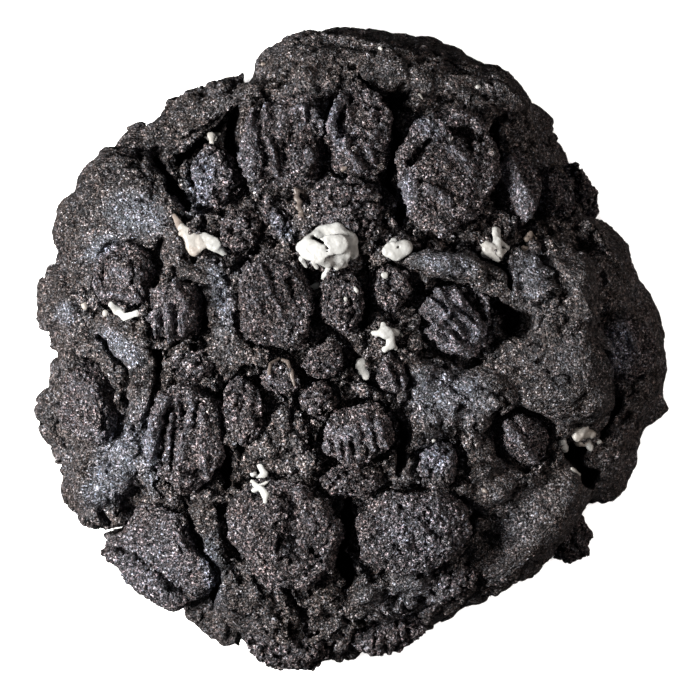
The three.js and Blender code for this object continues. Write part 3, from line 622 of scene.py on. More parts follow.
# Oily places with a bluish sheen, painted into their colour as paler and bluer, besides a higher specular
# level: place, half sizes, turn and how oily they are.
OIL_AND_PAINTED_SHEEN = [
    ((-28.9, 18.6), (4.2, 3.3), -20, 1), ((-33.4, 14.2), (3, 1.4), 35, 1),
    ((-31.3, -14.5), (3.2, 6.6), -20, 1), ((-30.9, 0.8), (4.2, 1.7), -35, 1),
    ((-20.2, 22.4), (2.2, 4.4), -15, 1), ((-27, -13), (1.4, 6.2), 5, 1),
    ((28.6, -1), (1.8, 5.6), -14, 0.25), ((24.1, 10.5), (3.2, 3.8), 0, 0.6),
    ((7.4, 20.8), (1.2, 4.2), -10, 0.7), ((-18.6, -29.4), (1.4, 5.4), 5, 1),
    ((-33.6, -18.7), (2.7, 2.2), 0, 1), ((-2.1, 30.9), (0.9, 3.8), 10, 1),
    ((12.7, 12), (4.2, 1.7), -10, 0.8), ((-17.2, 8), (1.4, 5.4), 15, 1),
    ((11.4, -13.6), (2.4, 2.8), 0, 1), ((-38.4, 5.4), (1.6, 1.6), 0, 1), ((22.8, -22), (4, 4), 0, 0.25),
    ((10.4, 30.2), (2.4, 1.4), -40, 0.8), ((14.6, -5.2), (3.4, 1.6), -40, 1),
    ((-9, 16.8), (1.2, 2.6), 40, 1), ((36.4, 0.8), (2, 4), 0, 1), ((8.8, -24), (6.5, 5.4), 0, 0.4),
    ((14.4, 4.1), (5.6, 4.8), 0, 0.45), ((8, -33), (6.5, 3.4), 20, 0.4),
    ((12.8, -5.6), (6.2, 4.2), -10, 0.75), ((-26.6, -28.7), (6, 6), 0, 0.3),
]

# Places painted darker, as painted shade: place, half sizes, turn and how much darker they are.
PAINTED_SHADE_PLACES = [
    ((-10.1, 6.8), (5.8, 6.4), 0, 0.36), ((-9.2, 27.9), (6.4, 6.8), 0, 0.22),
    ((13.2, 24.3), (6.6, 7.4), 0, 0.26), ((-8.5, -24.3), (7.4, 6.6), 0, 0.22),
    ((28.6, -0.6), (6.8, 9), 0, 0.24), ((0, 38.5), (14, 4), 0, 0.22), ((0, 2), (9, 9), 0, 0.16),
]

# Notches in the rim, from top to bottom: place, half sizes and turn.
NOTCHES = [
    ((-33.6, -24.6), (2.8, 0.5), 8), ((-14.1, 39.2), (0.8, 1.9), -15), ((-41, -0.5), (1.3, 0.7), -10),
    ((-9.4, 42.4), (0.5, 1.1), 0), ((-14.4, -40.9), (0.8, 1.3), 25),
]

# How far the dough stands off each wafer piece. A piece that isn't listed has the usual gap.
USUAL_GAP = 0.22
GAP_UNEVENNESS = 0.6  # how much the gaps vary
GAPS = {
    "ribbed_top": 0.9, "oval_top": 0.65, "rough_top": 0.55, "ringed_left": 0.7, "ribbed_left": 0.6,
    "lined_right": 0.8, "flat_lower_left": 0.7, "dome_bottom": 0.8, "rough_bottom": 0.5,
    "ribbed_lower_left": 0.8, "smooth_left": 0.8, "ribbed_middle": 0.7, "sunken_right": 1.1,
    "right_wall": 0.6, "upper_right_inner": 0.7, "upper_right_rim": 0.6, "sliver_top_right": 0.6,
    "wedge_top_left": 0.6, "rough_middle": -0.3, "lump_middle": -0.25, "upright_left": -0.05,
    "lump_left": -0.25, "crumbly_left": -0.25, "strip_top": -0.25, "lumps_top": -0.25,
    "ring_centre": -0.1, "blue_lump": -0.1, "bottom_rim": -0.2, "rough_bottom_right": -0.2,
}

# Straight broken sides: a place on the side and the way it faces, in degrees from +X.
CUTS = {"flat_lower_left": [((-21, -25.9), 14), ((-19.1, -34.1), 0), ((-30.3, -22.6), 141)]}


def spun(x, y, turn):
    """Coordinates along the two axes of something turned by degrees."""
    cosine = math.cos(math.radians(turn))
    sine = math.sin(math.radians(turn))
    return x * cosine + y * sine, y * cosine - x * sine


def ellipsoid(axes, middle, half, turn, squareness=2.0):
    """About the signed distance to an ellipsoid, or a squarer one, at every grid point."""
    x, y, z = (axes[i] - middle[i] for i in range(3))
    shares = [abs(away) / size for away, size in zip((*spun(x, y, turn), z), half)]
    scaled = np.maximum(sum(share**squareness for share in shares) ** (1 / squareness), 1e-3)
    steepness = 2 * (squareness - 1)
    slopes = sum((share / scaled) ** steepness / size**2 for share, size in zip(shares, half))
    return (scaled - 1) / np.sqrt(slopes)


def spread_at(points, spots):
    """How strongly the listed spots reach places in millimetres, from 0 to 1."""
    x, y = (points[:, :2] - MIDDLE).T
    strongest = np.zeros(len(points))
    for place, half, turn, amount in spots:
        along, across = spun(x - place[0], y - place[1], turn)
        reach = 1 - ramp(np.hypot(along / half[0], across / half[1]), 0.4, 1.3)
        strongest = np.maximum(strongest, amount * reach)
    return strongest


def path_distance(x, y, path):
    """Distance to a path of straight steps, and how far along it the nearest point is, from 0 to 1."""
    nearest = np.full(np.broadcast(x, y).shape, 99.0, np.float32)
    along = np.zeros_like(nearest)
    for step, (start, end) in enumerate(zip(path, path[1:])):
        way = np.subtract(end, start)
        share = np.clip(((x - start[0]) * way[0] + (y - start[1]) * way[1]) / (way @ way), 0, 1)
        away = np.hypot(x - start[0] - share * way[0], y - start[1] - share * way[1])
        along = np.where(away < nearest, (step + share) / (len(path) - 1), along)
        nearest = np.minimum(nearest, away)
    return nearest, along


def heights_of(field, grid):
    """Height of a field's top surface over every column of the grid."""
    solid = field[:, :, ::-1] < 0
    top = solid.shape[2] - 1 - solid.argmax(axis=2)
    return np.where(solid.any(axis=2), (top + grid.first[2]) * grid.cell, 0.0)


def height_at(place, heights, grid):
    return heights[grid.column(place[0] + MIDDLE[0], place[1] + MIDDLE[1])]


def tapered(along, least):
    """Full width in the middle of a path, where along is 0.5, and narrow at both ends."""
    return np.sqrt(np.clip(1 - (2 * along - 1) ** 4, least, 1))


def swellings(x, y, z, heights, grid):
    """The field of all lobes and folds."""
    smooth = np.full(grid.shape, BAND, np.float32)
    for place, half, turn, rise in LOBES:
        top = height_at(place, heights, grid) + rise
        middle = max(top - LOBE_DEPTH, LOBE_LOWEST)
        size = (*half, top - middle)
        body = ellipsoid((x, y, z), (*place, middle), size, turn, LOBE_SQUARENESS)
        smooth = np.minimum(smooth, body)
    for path, width, rise in FOLDS:
        flat, along = path_distance(x, y, path)
        marks = np.linspace(0, 1, len(path))
        levels = [height_at(place, heights, grid) + rise - width / 2 for place in path]
        level = np.interp(along, marks, levels)
        smooth = np.minimum(smooth, np.hypot(flat, z - level) - width / 2 * tapered(along, 0.15))
    return smooth


def cracked(field, x, y, depth, grid):
    """A field with its cracks, which wander and whose width varies."""
    axes = grid.axes()
    flat_places = np.stack(np.broadcast_arrays(axes[0][:, :, 0], axes[1][:, :, 0], 0.0), axis=-1)
    shape = flat_places.shape[:2]
    flat_places = flat_places.reshape(-1, 3)
    sway = [CRACK_SWAY * waves(flat_places, 2.6, seed, 2).reshape(shape) for seed in (61, 62)]
    uneven = 1 + CRACK_UNEVENNESS * waves(flat_places, 2.2, 63).reshape(shape)
    for path, width, crack_depth in CRACKS:
        flat, along = path_distance(x[:, :, 0] + sway[0], y[:, :, 0] + sway[1], path)
        half_width = (width / 2 * tapered(along, 0.05) * uneven)[:, :, None]
        share = np.sqrt(np.clip(1 - depth / crack_depth, 0, 1))
        crack = np.maximum(flat[:, :, None] - half_width * share, depth - crack_depth)
        field = carved(field, crack, 0.25)
    return field


def shaped_dough(whole, grid):
    """The cookie's whole body with its lobes, folds, clumps, hollows and cracks, and the lobes alone."""
    axes = grid.axes()
    x, y, z = axes[0] - MIDDLE[0], axes[1] - MIDDLE[1], axes[2]
    heights = heights_of(whole, grid)
    depth = (heights[:, :, None] - z).astype(np.float32)

    near = np.abs(whole) < RELIEF_REACH
    near &= np.broadcast_to(z > 1.0, near.shape)
    places = grid.points(near)
    field = whole.copy()
    warped = places + 0.6 * waves(places, 2.0, 7)[:, None]
    lumps = clumps(warped, 3.4, 21, height=0.9, crease=0.6, width=0.22)
    angle = np.arctan2(places[:, 1], places[:, 0])
    calm = ramp(np.cos(angle - CALM_SIDE), 0.1, 0.7) * (1 - ramp(places[:, 2], 11.0, 17.0))
    field[near] += 0.4 * waves(places, 9.0, 5) - lumps * (1 - CALMNESS * calm)

    dents = np.zeros(grid.shape, np.float32)
    dents[near] = 0.35 * waves(places, 4.0, 31, 2)
    smooth = swellings(x, y, z, heights, grid) + dents
    field = joined(field, smooth, LOBE_BLEND)
    for place, half, turn, pit_depth in PITS:
        middle = (*place, height_at(place, heights, grid) + PIT_LIFT)
        field = carved(field, ellipsoid((x, y, z), middle, (*half, pit_depth + PIT_LIFT), turn), 0.8)
    return cracked(notched(field, grid), x, y, depth, grid), smooth


# ---- wafer pieces

# Lines drawn on the wafer pieces, in millimetres from the middle of each piece's box: the places
# that one or more lines pass through, and their width and height. A negative height is a groove.
RIDGES = {
    "ribbed_top": [
        (((-4.1, 5.8), (-4.5, -5.4)), 2.6, 0.6), (((-6, 4.4), (-4.9, 4.4)), ((-6.2, 1.9), (-5, 1.9)),
        ((-6.2, -0.7), (-5, -0.7)), ((-6, -3.2), (-4.9, -3.2)), 0.5, -0.6),
        (((-2.7, 6), (-2.7, 1), (-2.1, -2.5), (-1.4, -5.2)), 0.7, -0.8),
        (((-1.9, 6), (-1.8, 3.2)), 0.8, 0.6), (((-1.6, 0.3), (-1, -1.7), (-0.6, -4.4)), 0.7, 0.7),
        (((0.2, 3.2), (-0.1, 1.6)), 0.8, 0.6), (((1.1, 4), (2.4, 4.5), (3.3, 2.4), (2, 1.8)), 0.8, 0.5),
        (((1.2, 2.4), (1.5, 0.3)), ((3.6, 1.2), (3.9, -1.1)), 0.6, -0.6),
        (((0.3, 0.4), (0.6, -2.6)), 0.6, -0.5), (((4, -1.8), (4.2, -2.6)), 1, 0.4),
        (((4.6, 4), (5.1, 2.4), (5.3, 1)), 0.8, 0.7),
    ],
    "oval_top": [
        (((-2.4, 3.9), (-3.1, 2.2), (-3.5, 0.3), (-3.1, -1.5)), 0.8, 0.9),
        (((-2, -1.8), (-1.3, -3.8), (-0.2, -5.1)), 0.8, 0.8),
        (((-1.5, 4.2), (-2.2, 2.5), (-2.5, 0.6), (-2.1, -1.2)), 0.6, -0.7),
        (((-4, 3.8), (-4.4, -0.4), (-3.6, -3.1)), 0.6, -0.6), (((-1.3, 2.5), (-1.1, 0.9)),
        ((1.5, 2.5), (1.3, 1.4)), ((2.5, -0.4), (2.2, -1.5)), ((1.7, -3.4), (1.9, -4.5)), 0.6, 0.5),
        (((-1, 3.6), (0.7, 4.1), (2.5, 3), (2.9, 1.2)), 0.5, -0.4),
    ],
    "rough_top": [
        (((-4.6, 1.4), (-3.4, 2.6), (-2.2, 4)), 0.8, -1.2), (((1, 5.6), (3, 5.6), (4.8, 4.6)), 1.1, -1),
        (((-6.8, 0.2), (-6.3, -3.4), (-5.6, -6.1)), 1.3, 0.5), (((0.9, 2.6), (2.9, 0.6)), 1.5, 0.4),
        (((-2.5, -2.8), (0.2, -4.1)), 1.6, 0.4), (((-4.6, 5.6), (-2.4, 7)), 1.5, 0.4),
        (((2.6, 5.4), (3.4, 3)), 1.2, -0.5),
    ],
    "ringed_left": [
        (((-2.9, 1.6), (-3, -1.2)), 0.7, -0.7),
        (((-1.9, 2.2), (0.8, 2.3), (1.5, 1.3), (1.7, -0.9)), 0.6, -0.7),
        (((-3.6, 2.2), (-3.9, 0), (-3.5, -2.2)), 0.8, 0.4),
        (((-2.4, -2.6), (0.2, -3.1), (2.2, -2.6)), 0.9, 0.4), (((-1, 0.4), (0.8, 0.8)), 1.4, 0.4),
    ],
    "ribbed_left": [
        (((-3.5, -0.8), (-3.4, -3.8)), ((-2.1, -0.4), (-1.9, -3.9)), ((-0.6, 0), (-0.3, -3.8)),
        ((1.1, -1.2), (1.5, -3.7)), 1, 0.7),
        (((-2.8, -1.2), (-2.7, -4.1)), ((-1.3, -1), (-1.1, -4.1)), ((0.3, -0.8), (0.5, -4)), 0.45, -0.8),
        (((0, 3.4), (1.1, 1.7), (1.7, -0.3)), 0.8, 0.6), (((-2.3, 2.4), (-1.2, 1.8)), 0.8, 0.3),
    ],
    "lined_right": [
        (((-2.8, 4.8), (-1.3, 2.5), (0, 1), (1.1, 0.2), (2.7, -1.3)),
        ((-3.6, 2.8), (-1.9, 0.9), (-0.8, -0.4), (0.4, -2.1)), 0.6, 0.7),
        (((-2.7, -0.3), (-0.8, -2.6)), 0.6, 0.6), (((-4.2, 2.6), (-4.1, 1), (-3.3, 0)), 0.6, 0.5),
        (((-0.3, 3.8), (0.5, 2.2)), 0.9, 0.6), (((0.7, 1.8), (2.5, 0.1)), 0.4, 0.4),
        (((-4, -1.7), (-2.5, -0.3), (-1.5, 0.9), (-0.7, 1.6)), 0.5, 0.6),
        (((-3.8, -1.8), (-1.7, -2.9), (-0.4, -3.4), (0.9, -4)), 0.8, 0.5),
        (((0.9, 4.4), (2.4, 3), (4.2, 1.2)), 1.8, -1), (((2, -2.4), (4.4, -2.4)), 1.4, 0.3),
    ],
    "flat_lower_left": [
        (((-5.6, 1.6), (-3.4, 0), (-0.3, -2.6), (2.4, -5.2), (5, -7.2)), 0.7, -1),
        (((1.5, -0.9), (2.7, -1.9), (4.8, -2)), 0.5, 0.5), (((-3, 2.4), (0.6, 0.2)), 0.5, 0.3),
        (((-1.4, 4.6), (1.6, 2.2)), 0.5, -0.3), (((2.6, 3.4), (4.6, 0.6)), 0.8, 0.3),
    ],
    "dome_bottom": [
        (((-4.2, 3.9), (-1.9, 1.7), (-0.5, -0.8)), ((-2.2, 3.9), (1.9, 0.9), (5.6, -1.8)), 0.5, -0.4),
        (((-5.5, 1.9), (-3.2, -1.4), (-0.6, -4.2)), 0.7, -0.5), (((0.5, 4.6), (4.5, 1.9)), 0.4, -0.35),
        (((-3.4, 3.2), (-0.9, 0.4)), ((0.2, 1.4), (4, -1.6)), 0.5, 0.3),
    ],
    "rough_bottom": [
        (((-0.2, 4.6), (-0.6, 1.3), (-0.1, -3.7)), 2, -0.9), (((3.1, -2.6), (4.5, -3.7)), 0.9, -0.9),
        (((-4.6, 2.4), (-2.8, 1)), 0.8, -0.4), (((2.2, 2.6), (3.4, 0.8)), 1.2, 0.4),
    ],
    "ribbed_lower_left": [
        (((-2.6, 5.2), (-3.6, 3.3), (-4.4, 1.2), (-5.1, -1.5), (-5.4, -3.9), (-4.9, -6.4)), 1.5, 0.9),
        (((-1.8, 4.4), (-2.6, 2.5), (-3.1, 0.6), (-3.8, -1.8), (-3.9, -4.5), (-4, -6.4)), 0.7, -0.9),
        (((-1.8, 3.3), (-2, 0.9), (-2.3, -1.3), (-2.7, -3.1)), 0.6, 0.6),
        (((-1, 3.9), (-1.4, 1.5), (-1.6, -1.1), (-2, -4.5)), 0.5, -0.7),
        (((0.6, 1.7), (-0.1, -0.2), (-0.5, -1.8), (-0.9, -3.4)), 0.8, 0.7),
        (((-0.6, 5.8), (-0.8, 3.3)), 0.7, 0.5), (((0.2, 4.9), (-0.1, 1.6)), 0.5, -0.6),
        (((1.4, 5.8), (1.6, 3.9), (0.8, 2)), 0.8, 0.6), (((2.4, 5), (1.5, 2.5)), 0.5, -0.8),
        (((2.7, 4.4), (2.6, 2)), 0.9, 0.4), (((0.2, -4.4), (1.8, -5.3)), 1.6, -0.7),
        (((2.7, -2.5), (2.7, -5.6)), 1, 0.4),
    ],
    "ribbed_middle": [
        (((-3.8, 0.8), (-4.3, -2.3)), ((-2.6, 1), (-2.7, -2.9)), ((-1.5, 1), (-1.2, -2.7)),
        ((-0.3, 1), (0.5, -2.4)), ((1, 1.8), (2.2, -1.6)), 1.1, 0.4),
        (((2.5, 1.3), (3.7, -1.3)), 0.9, 0.5), (((-3.4, -0.4), (-3.6, -2.8)), ((-2, -0.6), (-1.7, -3)),
        ((-0.6, 0), (-0.3, -2.6)), ((0.9, 0.2), (1.4, -2.2)), ((2.2, 0.8), (2.9, -2)), 0.4, -0.5),
    ],
    "smooth_left": [
        (((-1.2, 2.6), (1.4, 2), (2.8, 0)), 1.8, 0.3), (((-2.8, -1), (-0.4, -3), (1.8, -4.2)), 1.2, 0.3),
    ],
    "sunken_right": [
        (((-3, 2.2), (-0.8, -0.4), (1.4, -2.8)), 1.4, 0.5),
        (((-1.8, 2.8), (0.4, 0.2), (2.4, -2.2)), 0.5, -0.4),
    ],
    "ribbed_bottom_rim": [
        (((-3.4, 2), (-3, -2.4)), ((-1.8, 2), (-1.4, -2.4)), ((-0.1, 2), (0.3, -2.4)),
        ((1.6, 2), (2, -2.4)), ((3.2, 2), (3.6, -2)), 0.5, -0.5),
    ],
    "ring_centre": [(((-1.2, 1.6), (-1.6, 0.3), (-1, -1.2), (0.8, -1.3)), 0.6, 0.5)],
    "rough_middle": [
        (((-1.8, 4.6), (-0.8, 2.8), (-0.4, 0.8)), 0.5, 0.5),
        (((-2.7, 0.1), (-1.8, -1.9)), ((0, 0.1), (0.9, -1.9)), 0.5, 0.4),
        (((1.8, 3.4), (2.6, 0.6)), 0.7, -0.6),
    ],
    "sliver_top_right": [
        (((-2.4, 4.6), (-1.2, 1.4), (0.6, -1.2), (1.8, -3.8)), 2.4, 0.6),
        (((-0.6, 4.2), (0.6, 1.2), (2.2, -1.4)), 0.5, -0.4),
    ],
    "right_wall": [
        (((-3.2, 2.4), (-2.8, 0.5), (-1.9, -1.7)), 0.9, 0.6), (((0, 1.8), (0.8, -0.6)), 0.8, 0.4),
    ],
    "upright_centre": [(((-0.3, 1.2), (0, -2.4)), 0.6, 0.5), (((1, -0.6), (1.2, -2.6)), 0.5, 0.4)],
}

RIDGE_SCALE = 1.4  # how much taller raised lines stand than their listed heights
GROOVE_SCALE = 0.85  # how deep grooves run, as a share of their listed depths
LINE_SWAY = 0.44  # how far drawn lines wander on the roughest piece
SANDY = 0.5  # how lumpy a piece whose lines show is, as a share of what a plain one is
CRISP = 0.25  # and how lumpy the piece with the fine crossing lines is


def wafer_distance(node, grid):
    """Signed distance to a wafer piece with its straight broken sides."""
    field = node_distance(node, grid)
    cuts = CUTS.get(node.removeprefix("wafer_"), [])
    if cuts:
        x, y = (line - MIDDLE[i] for i, line in enumerate(grid.axes()[:2]))
        for place, facing in cuts:
            away_x = (x - place[0]) * math.cos(math.radians(facing))
            away_y = (y - place[1]) * math.sin(math.radians(facing))
            field = np.maximum(field, away_x + away_y)
    return field


def notched(field, grid):
    """A field without the notches in the rim that lie near it."""
    axes = grid.axes()
    x, y = axes[0] - MIDDLE[0], axes[1] - MIDDLE[1]
    for place, half, turn in NOTCHES:
        reach = max(half) + 1
        if np.abs(x - place[0]).min() < reach and np.abs(y - place[1]).min() < reach:
            notch = ellipsoid((x, y, 0 * axes[2]), (*place, 0), (*half, 1.0), turn)
            field = carved(field, notch, 0.4)
    return field


def drawn_height(offsets, lines, unevenness):
    """Height that drawn lines add at places given from a piece's middle."""
    height = np.zeros(len(offsets))
    sway = LINE_SWAY * unevenness * waves(offsets, 1.1, 77, 2)
    for *paths, width, rise in lines:
        scale = RIDGE_SCALE if rise > 0 else GROOVE_SCALE
        for path in paths:
            away, _ = path_distance(offsets[:, 0] + sway, offsets[:, 1] - sway, path)
            height += scale * rise * (1 - ramp(away, 0.2 * width, 0.85 * width))
    return height


def wafer_piece(node, seed):
    """A broken wafer: the CAD solid softened, drawn on, bent and crumbly."""
    low, high = (np.array(corner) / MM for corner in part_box(node))
    grid = Grid(low - WAFER_PAD, high + WAFER_PAD, WAFER_CELL)
    field = blurred(notched(wafer_distance(node, grid), grid), WAFER_BLUR, grid)
    points, quads = largest_part(*surface(field, grid))
    normals = normals_of(points, quads)
    lines = RIDGES.get(node.removeprefix("wafer_"), [])
    unevenness = CRISP if node == "wafer_lined_right" else SANDY if lines else 1.0
    open_side = ramp(normals[:, 2], -0.6, -0.1)
    drawn = drawn_height(points - (low + high) / 2, lines, unevenness) * ramp(normals[:, 2], 0.15, 0.5)
    warp = 0.5 * drift(points, 1.3, seed + 25, 2)
    lumpy = unevenness * clumps(points + warp, 2.2, seed + 30, height=0.6, crease=0.35)
    ragged = 0.45 * waves(points, 2.6, seed + 35, 2) * (1 - ramp(normals[:, 2], 0.4, 0.9))
    height = drawn + (lumpy + ragged) * open_side
    points = bent(points + height[:, None] * normals)
    normals = normals_of(points, quads)
    crumb = clumps(points, 0.85, seed + 40, height=0.34, crease=0.14, width=0.3)
    crumb = crumb + clumps(points, 0.5, seed + 45, height=0.2)
    points = points + (crumb * open_side)[:, None] * normals
    points[:, 2] = np.maximum(points[:, 2], LOWEST)
    # Painted shade: low spots, grooves and creases between the crumbs are darkened.
    recess_shade = ramp(-(0.6 * drawn + lumpy + crumb), 0.1, 0.8)
    return finished(
        mesh_object(f"{node}_crumb", points, quads, WAFER),
        "wafer",
        nodes=[node],
        share=WAFER_SHARE,
        # painted shade in low spots and in the places listed as darker
        cavity=np.maximum(recess_shade, spread_at(points, PAINTED_SHADE_PLACES)),
        smooth=0.35 * ramp(drawn, 0.0, 0.4),
        # painted bluish sheen on oily places and on raised lines
        oil=np.maximum(spread_at(points, OIL_AND_PAINTED_SHEEN), 0.3 * ramp(drawn, 0.2, 0.6)),
    )


# ---- dough

wafer_nodes = sorted(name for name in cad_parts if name.startswith("wafer_"))
filling_nodes = sorted(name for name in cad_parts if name.startswith("filling_"))

WRINKLE_STRETCH = (0.6, 1.1, 1.0)  # wrinkles are longer along X
WRINKLE_DEPTH = 0.38
PLATE_CREASE = 0.3  # how deep the creases between the plates of smooth dough are
PORE_SPACING = 3.0  # the pores of the flat underside
PORE_DEPTH = 0.5


def dough_fields():
    """The grid, the whole cookie softened, and the wafer pieces with the gaps round them."""
    corners = np.array([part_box(node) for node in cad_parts]) / MM
    low, high = corners[:, 0].min(axis=0), corners[:, 1].max(axis=0)
    grid = Grid(low - DOUGH_PAD, high + DOUGH_PAD, DOUGH_CELL)
    wafers = np.full(grid.shape, BAND, np.float32)
    solid = node_distance("cookie_dough", grid)
    for node in (*wafer_nodes, *filling_nodes):
        solid = np.minimum(solid, node_distance(node, grid))
    for node in wafer_nodes:
        stand_off = GAPS.get(node.removeprefix("wafer_"), USUAL_GAP)
        wafers = np.minimum(wafers, wafer_distance(node, grid) - stand_off)
    near = np.abs(wafers) < 2.0
    wafers[near] -= GAP_UNEVENNESS * waves(grid.points(near), 3.6, 3, 2)
    return grid, blurred(solid, DOUGH_BLUR, grid) + DOUGH_SHRINK, wafers


def crumbly_relief(points, warp):
    """Large clumps with creases between them, small clumps and fine crumb."""
    large = clumps(points + warp, 2.4, 40, height=0.7, crease=0.25, width=0.25)
    small = clumps(points + 0.6 * warp, 1.15, 50, height=0.32)
    return large + (small + 0.24 * waves(points, 0.9, 74, octaves=2, gain=0.7))


def smooth_relief(points, warp):
    """A soft swell, creases here and there round large plates, and long wrinkles."""
    relief = 0.2 * waves(points, 2.4, 65, 2) + 0.2 * waves(points, 0.95, 70, octaves=2, gain=0.8)
    plates, second = cells(points + 1.2 * warp, 3.6, 95)
    creased = 1 - ramp(second - plates, 0.0, 0.1)
    relief -= PLATE_CREASE * creased * ramp(waves(points, 6.0, 97), -0.1, 0.3)
    wrinkle = 1 - ramp(np.abs(waves(points * WRINKLE_STRETCH, 2.2, 99, 2)), 0.0, 0.1)
    return relief - WRINKLE_DEPTH * wrinkle * ramp(waves(points, 5.0, 98), -0.3, 0.1)


def dough_piece():
    """The dough: everything between and under the wafer pieces, with a groove round each of them."""
    grid, whole, wafers = dough_fields()
    field, smooth = shaped_dough(whole, grid)
    field = carved(field, np.maximum(wafers, -whole - GROOVE_DEPTH), 0.25)
    skirt = int(round(SKIRT_HEIGHT / grid.cell)) - grid.first[2]
    field[:, :, :skirt] = field[:, :, skirt : skirt + 1]
    field = np.maximum(field, -grid.axes()[2])
    points, quads = largest_part(*surface(field, grid))

    smoothness = 1 - ramp(grid.at(smooth, points), 0.1, 0.9)
    smoothness *= 1 - spread_at(points, CRUMBLY)
    smoothness = np.maximum(smoothness, 0.8 * (1 - ramp(points[:, 2], 9.0, 15.0)))
    # Painted shade: dough that lies deep under the softened surface, in grooves and gaps, is darkened.
    buried_shade = ramp(-grid.at(whole, points), 0.6, 2.0) * ramp(points[:, 2], 1.0, 3.0)
    points = bent(points)
    normals = normals_of(points, quads)
    warp = 0.55 * drift(points, 1.4, 71, 2)
    offset = crumbly_relief(points, warp) * (1 - smoothness) + smooth_relief(points, warp) * smoothness
    offset *= ramp(points[:, 2], 0.0, 0.8)
    under = (1 - ramp(points[:, 2], 0.0, 0.3)) * ramp(-normals[:, 2], 0.8, 0.95)
    pores = np.clip(waves(points, PORE_SPACING, 96, octaves=3, gain=0.6), 0, 1)
    points = points + offset[:, None] * normals
    points[:, 2] += PORE_DEPTH * pores * under
    # Painted shade: the low spots of the relief are darkened as well.
    recess_shade = np.maximum(buried_shade, ramp(-offset, 0.0, 0.6))
    return finished(
        mesh_object("cookie_dough_baked", points, quads, DOUGH),
        "dough",
        nodes=["cookie_dough"],
        share=DOUGH_TRIANGLES / (2 * len(quads)),
        smooth=smoothness,
        # painted bluish sheen on oily places
        oil=spread_at(points, OIL_AND_PAINTED_SHEEN) * ramp(points[:, 2], 0.0, 6.0),
        # painted shade in deep and low spots and in the places listed as darker
        cavity=np.maximum(recess_shade, spread_at(points, PAINTED_SHADE_PLACES)),
    )


# ---- crumbs

CRUMBS = 700
LEAST_CRUMB = 0.2  # the radius of the smallest
CRUMB_RANGE = 0.55  # how much larger the largest may be
LARGE_CRUMB = 0.45  # from this radius on, a crumb has finer triangles


def surface_of(piece):
    """A piece's points, in millimetres, and its normals."""
    vertices = piece.data.vertices
    return mesh_values(vertices, "co") / MM, mesh_values(vertices, "normal")


class Relief:
    """The height of the dressed cookie's top over a square raster."""

    CELL = 0.5

    def __init__(self, points):
        self.low = points[:, :2].min(axis=0)
        index = self.index(points)
        self.heights = np.zeros(index.max(axis=0) + 1)
        np.maximum.at(self.heights, tuple(index.T), points[:, 2])

    def index(self, points):
        return np.rint((np.asarray(points)[:, :2] - self.low) / self.CELL).astype(int)

    def at(self, place):
        """Mean height round a place, which evens out the crumb."""
        i, j = self.index([(place[0] + MIDDLE[0], place[1] + MIDDLE[1])])[0]
        return self.heights[i - 1 : i + 2, j - 1 : j + 2].mean()


def ball(steps):
    """Points and triangles of a unit ball."""
    shape = bmesh.new()
    bmesh.ops.create_icosphere(shape, subdivisions=steps, radius=1.0)
    points = np.array([vertex.co for vertex in shape.verts])
    triangles = np.array([[vertex.index for vertex in face.verts] for face in shape.faces])
    shape.free()
    return points, triangles


def loose_crumbs(places, normals, odds):
    """Small broken crumbs that lie in the rough dough and on the wafer pieces, as one piece."""
    rng = np.random.default_rng(11)
    chosen = rng.choice(len(places), CRUMBS, replace=False, p=odds / odds.sum())
    balls = {steps: ball(steps) for steps in (2, 3)}
    all_points = []
    all_triangles = []
    total = 0
    for number, rest in enumerate(chosen):
        radius = LEAST_CRUMB + CRUMB_RANGE * rng.random() ** 3.2
        points, triangles = balls[3 if radius > LARGE_CRUMB else 2]
        turn = np.linalg.qr(rng.normal(size=(3, 3)))[0]
        turn *= np.sign(np.linalg.det(turn))
        stretch = rng.uniform(0.65, 1.25, 3)
        knobs, _ = cells(points + 7.3 * number, 0.9, 81)
        shaped = points * stretch * (1.25 - 0.6 * knobs)[:, None]
        middle = places[rest] + 0.25 * radius * normals[rest]
        all_points.append(shaped @ turn.T * radius + middle)
        all_triangles.append(triangles + total)
        total += len(points)
    points = np.concatenate(all_points)
    points[:, 2] = np.maximum(points[:, 2], LOWEST)
    piece = mesh_object("loose_crumbs", points, np.concatenate(all_triangles), DOUGH)
    plain = np.zeros(len(points))
    # The crumbs carry the painted bluish sheen of the oily places, and no painted shade.
    finished(piece, "dough", smooth=plain, oil=spread_at(points, OIL_AND_PAINTED_SHEEN), cavity=plain)


# ---- filling

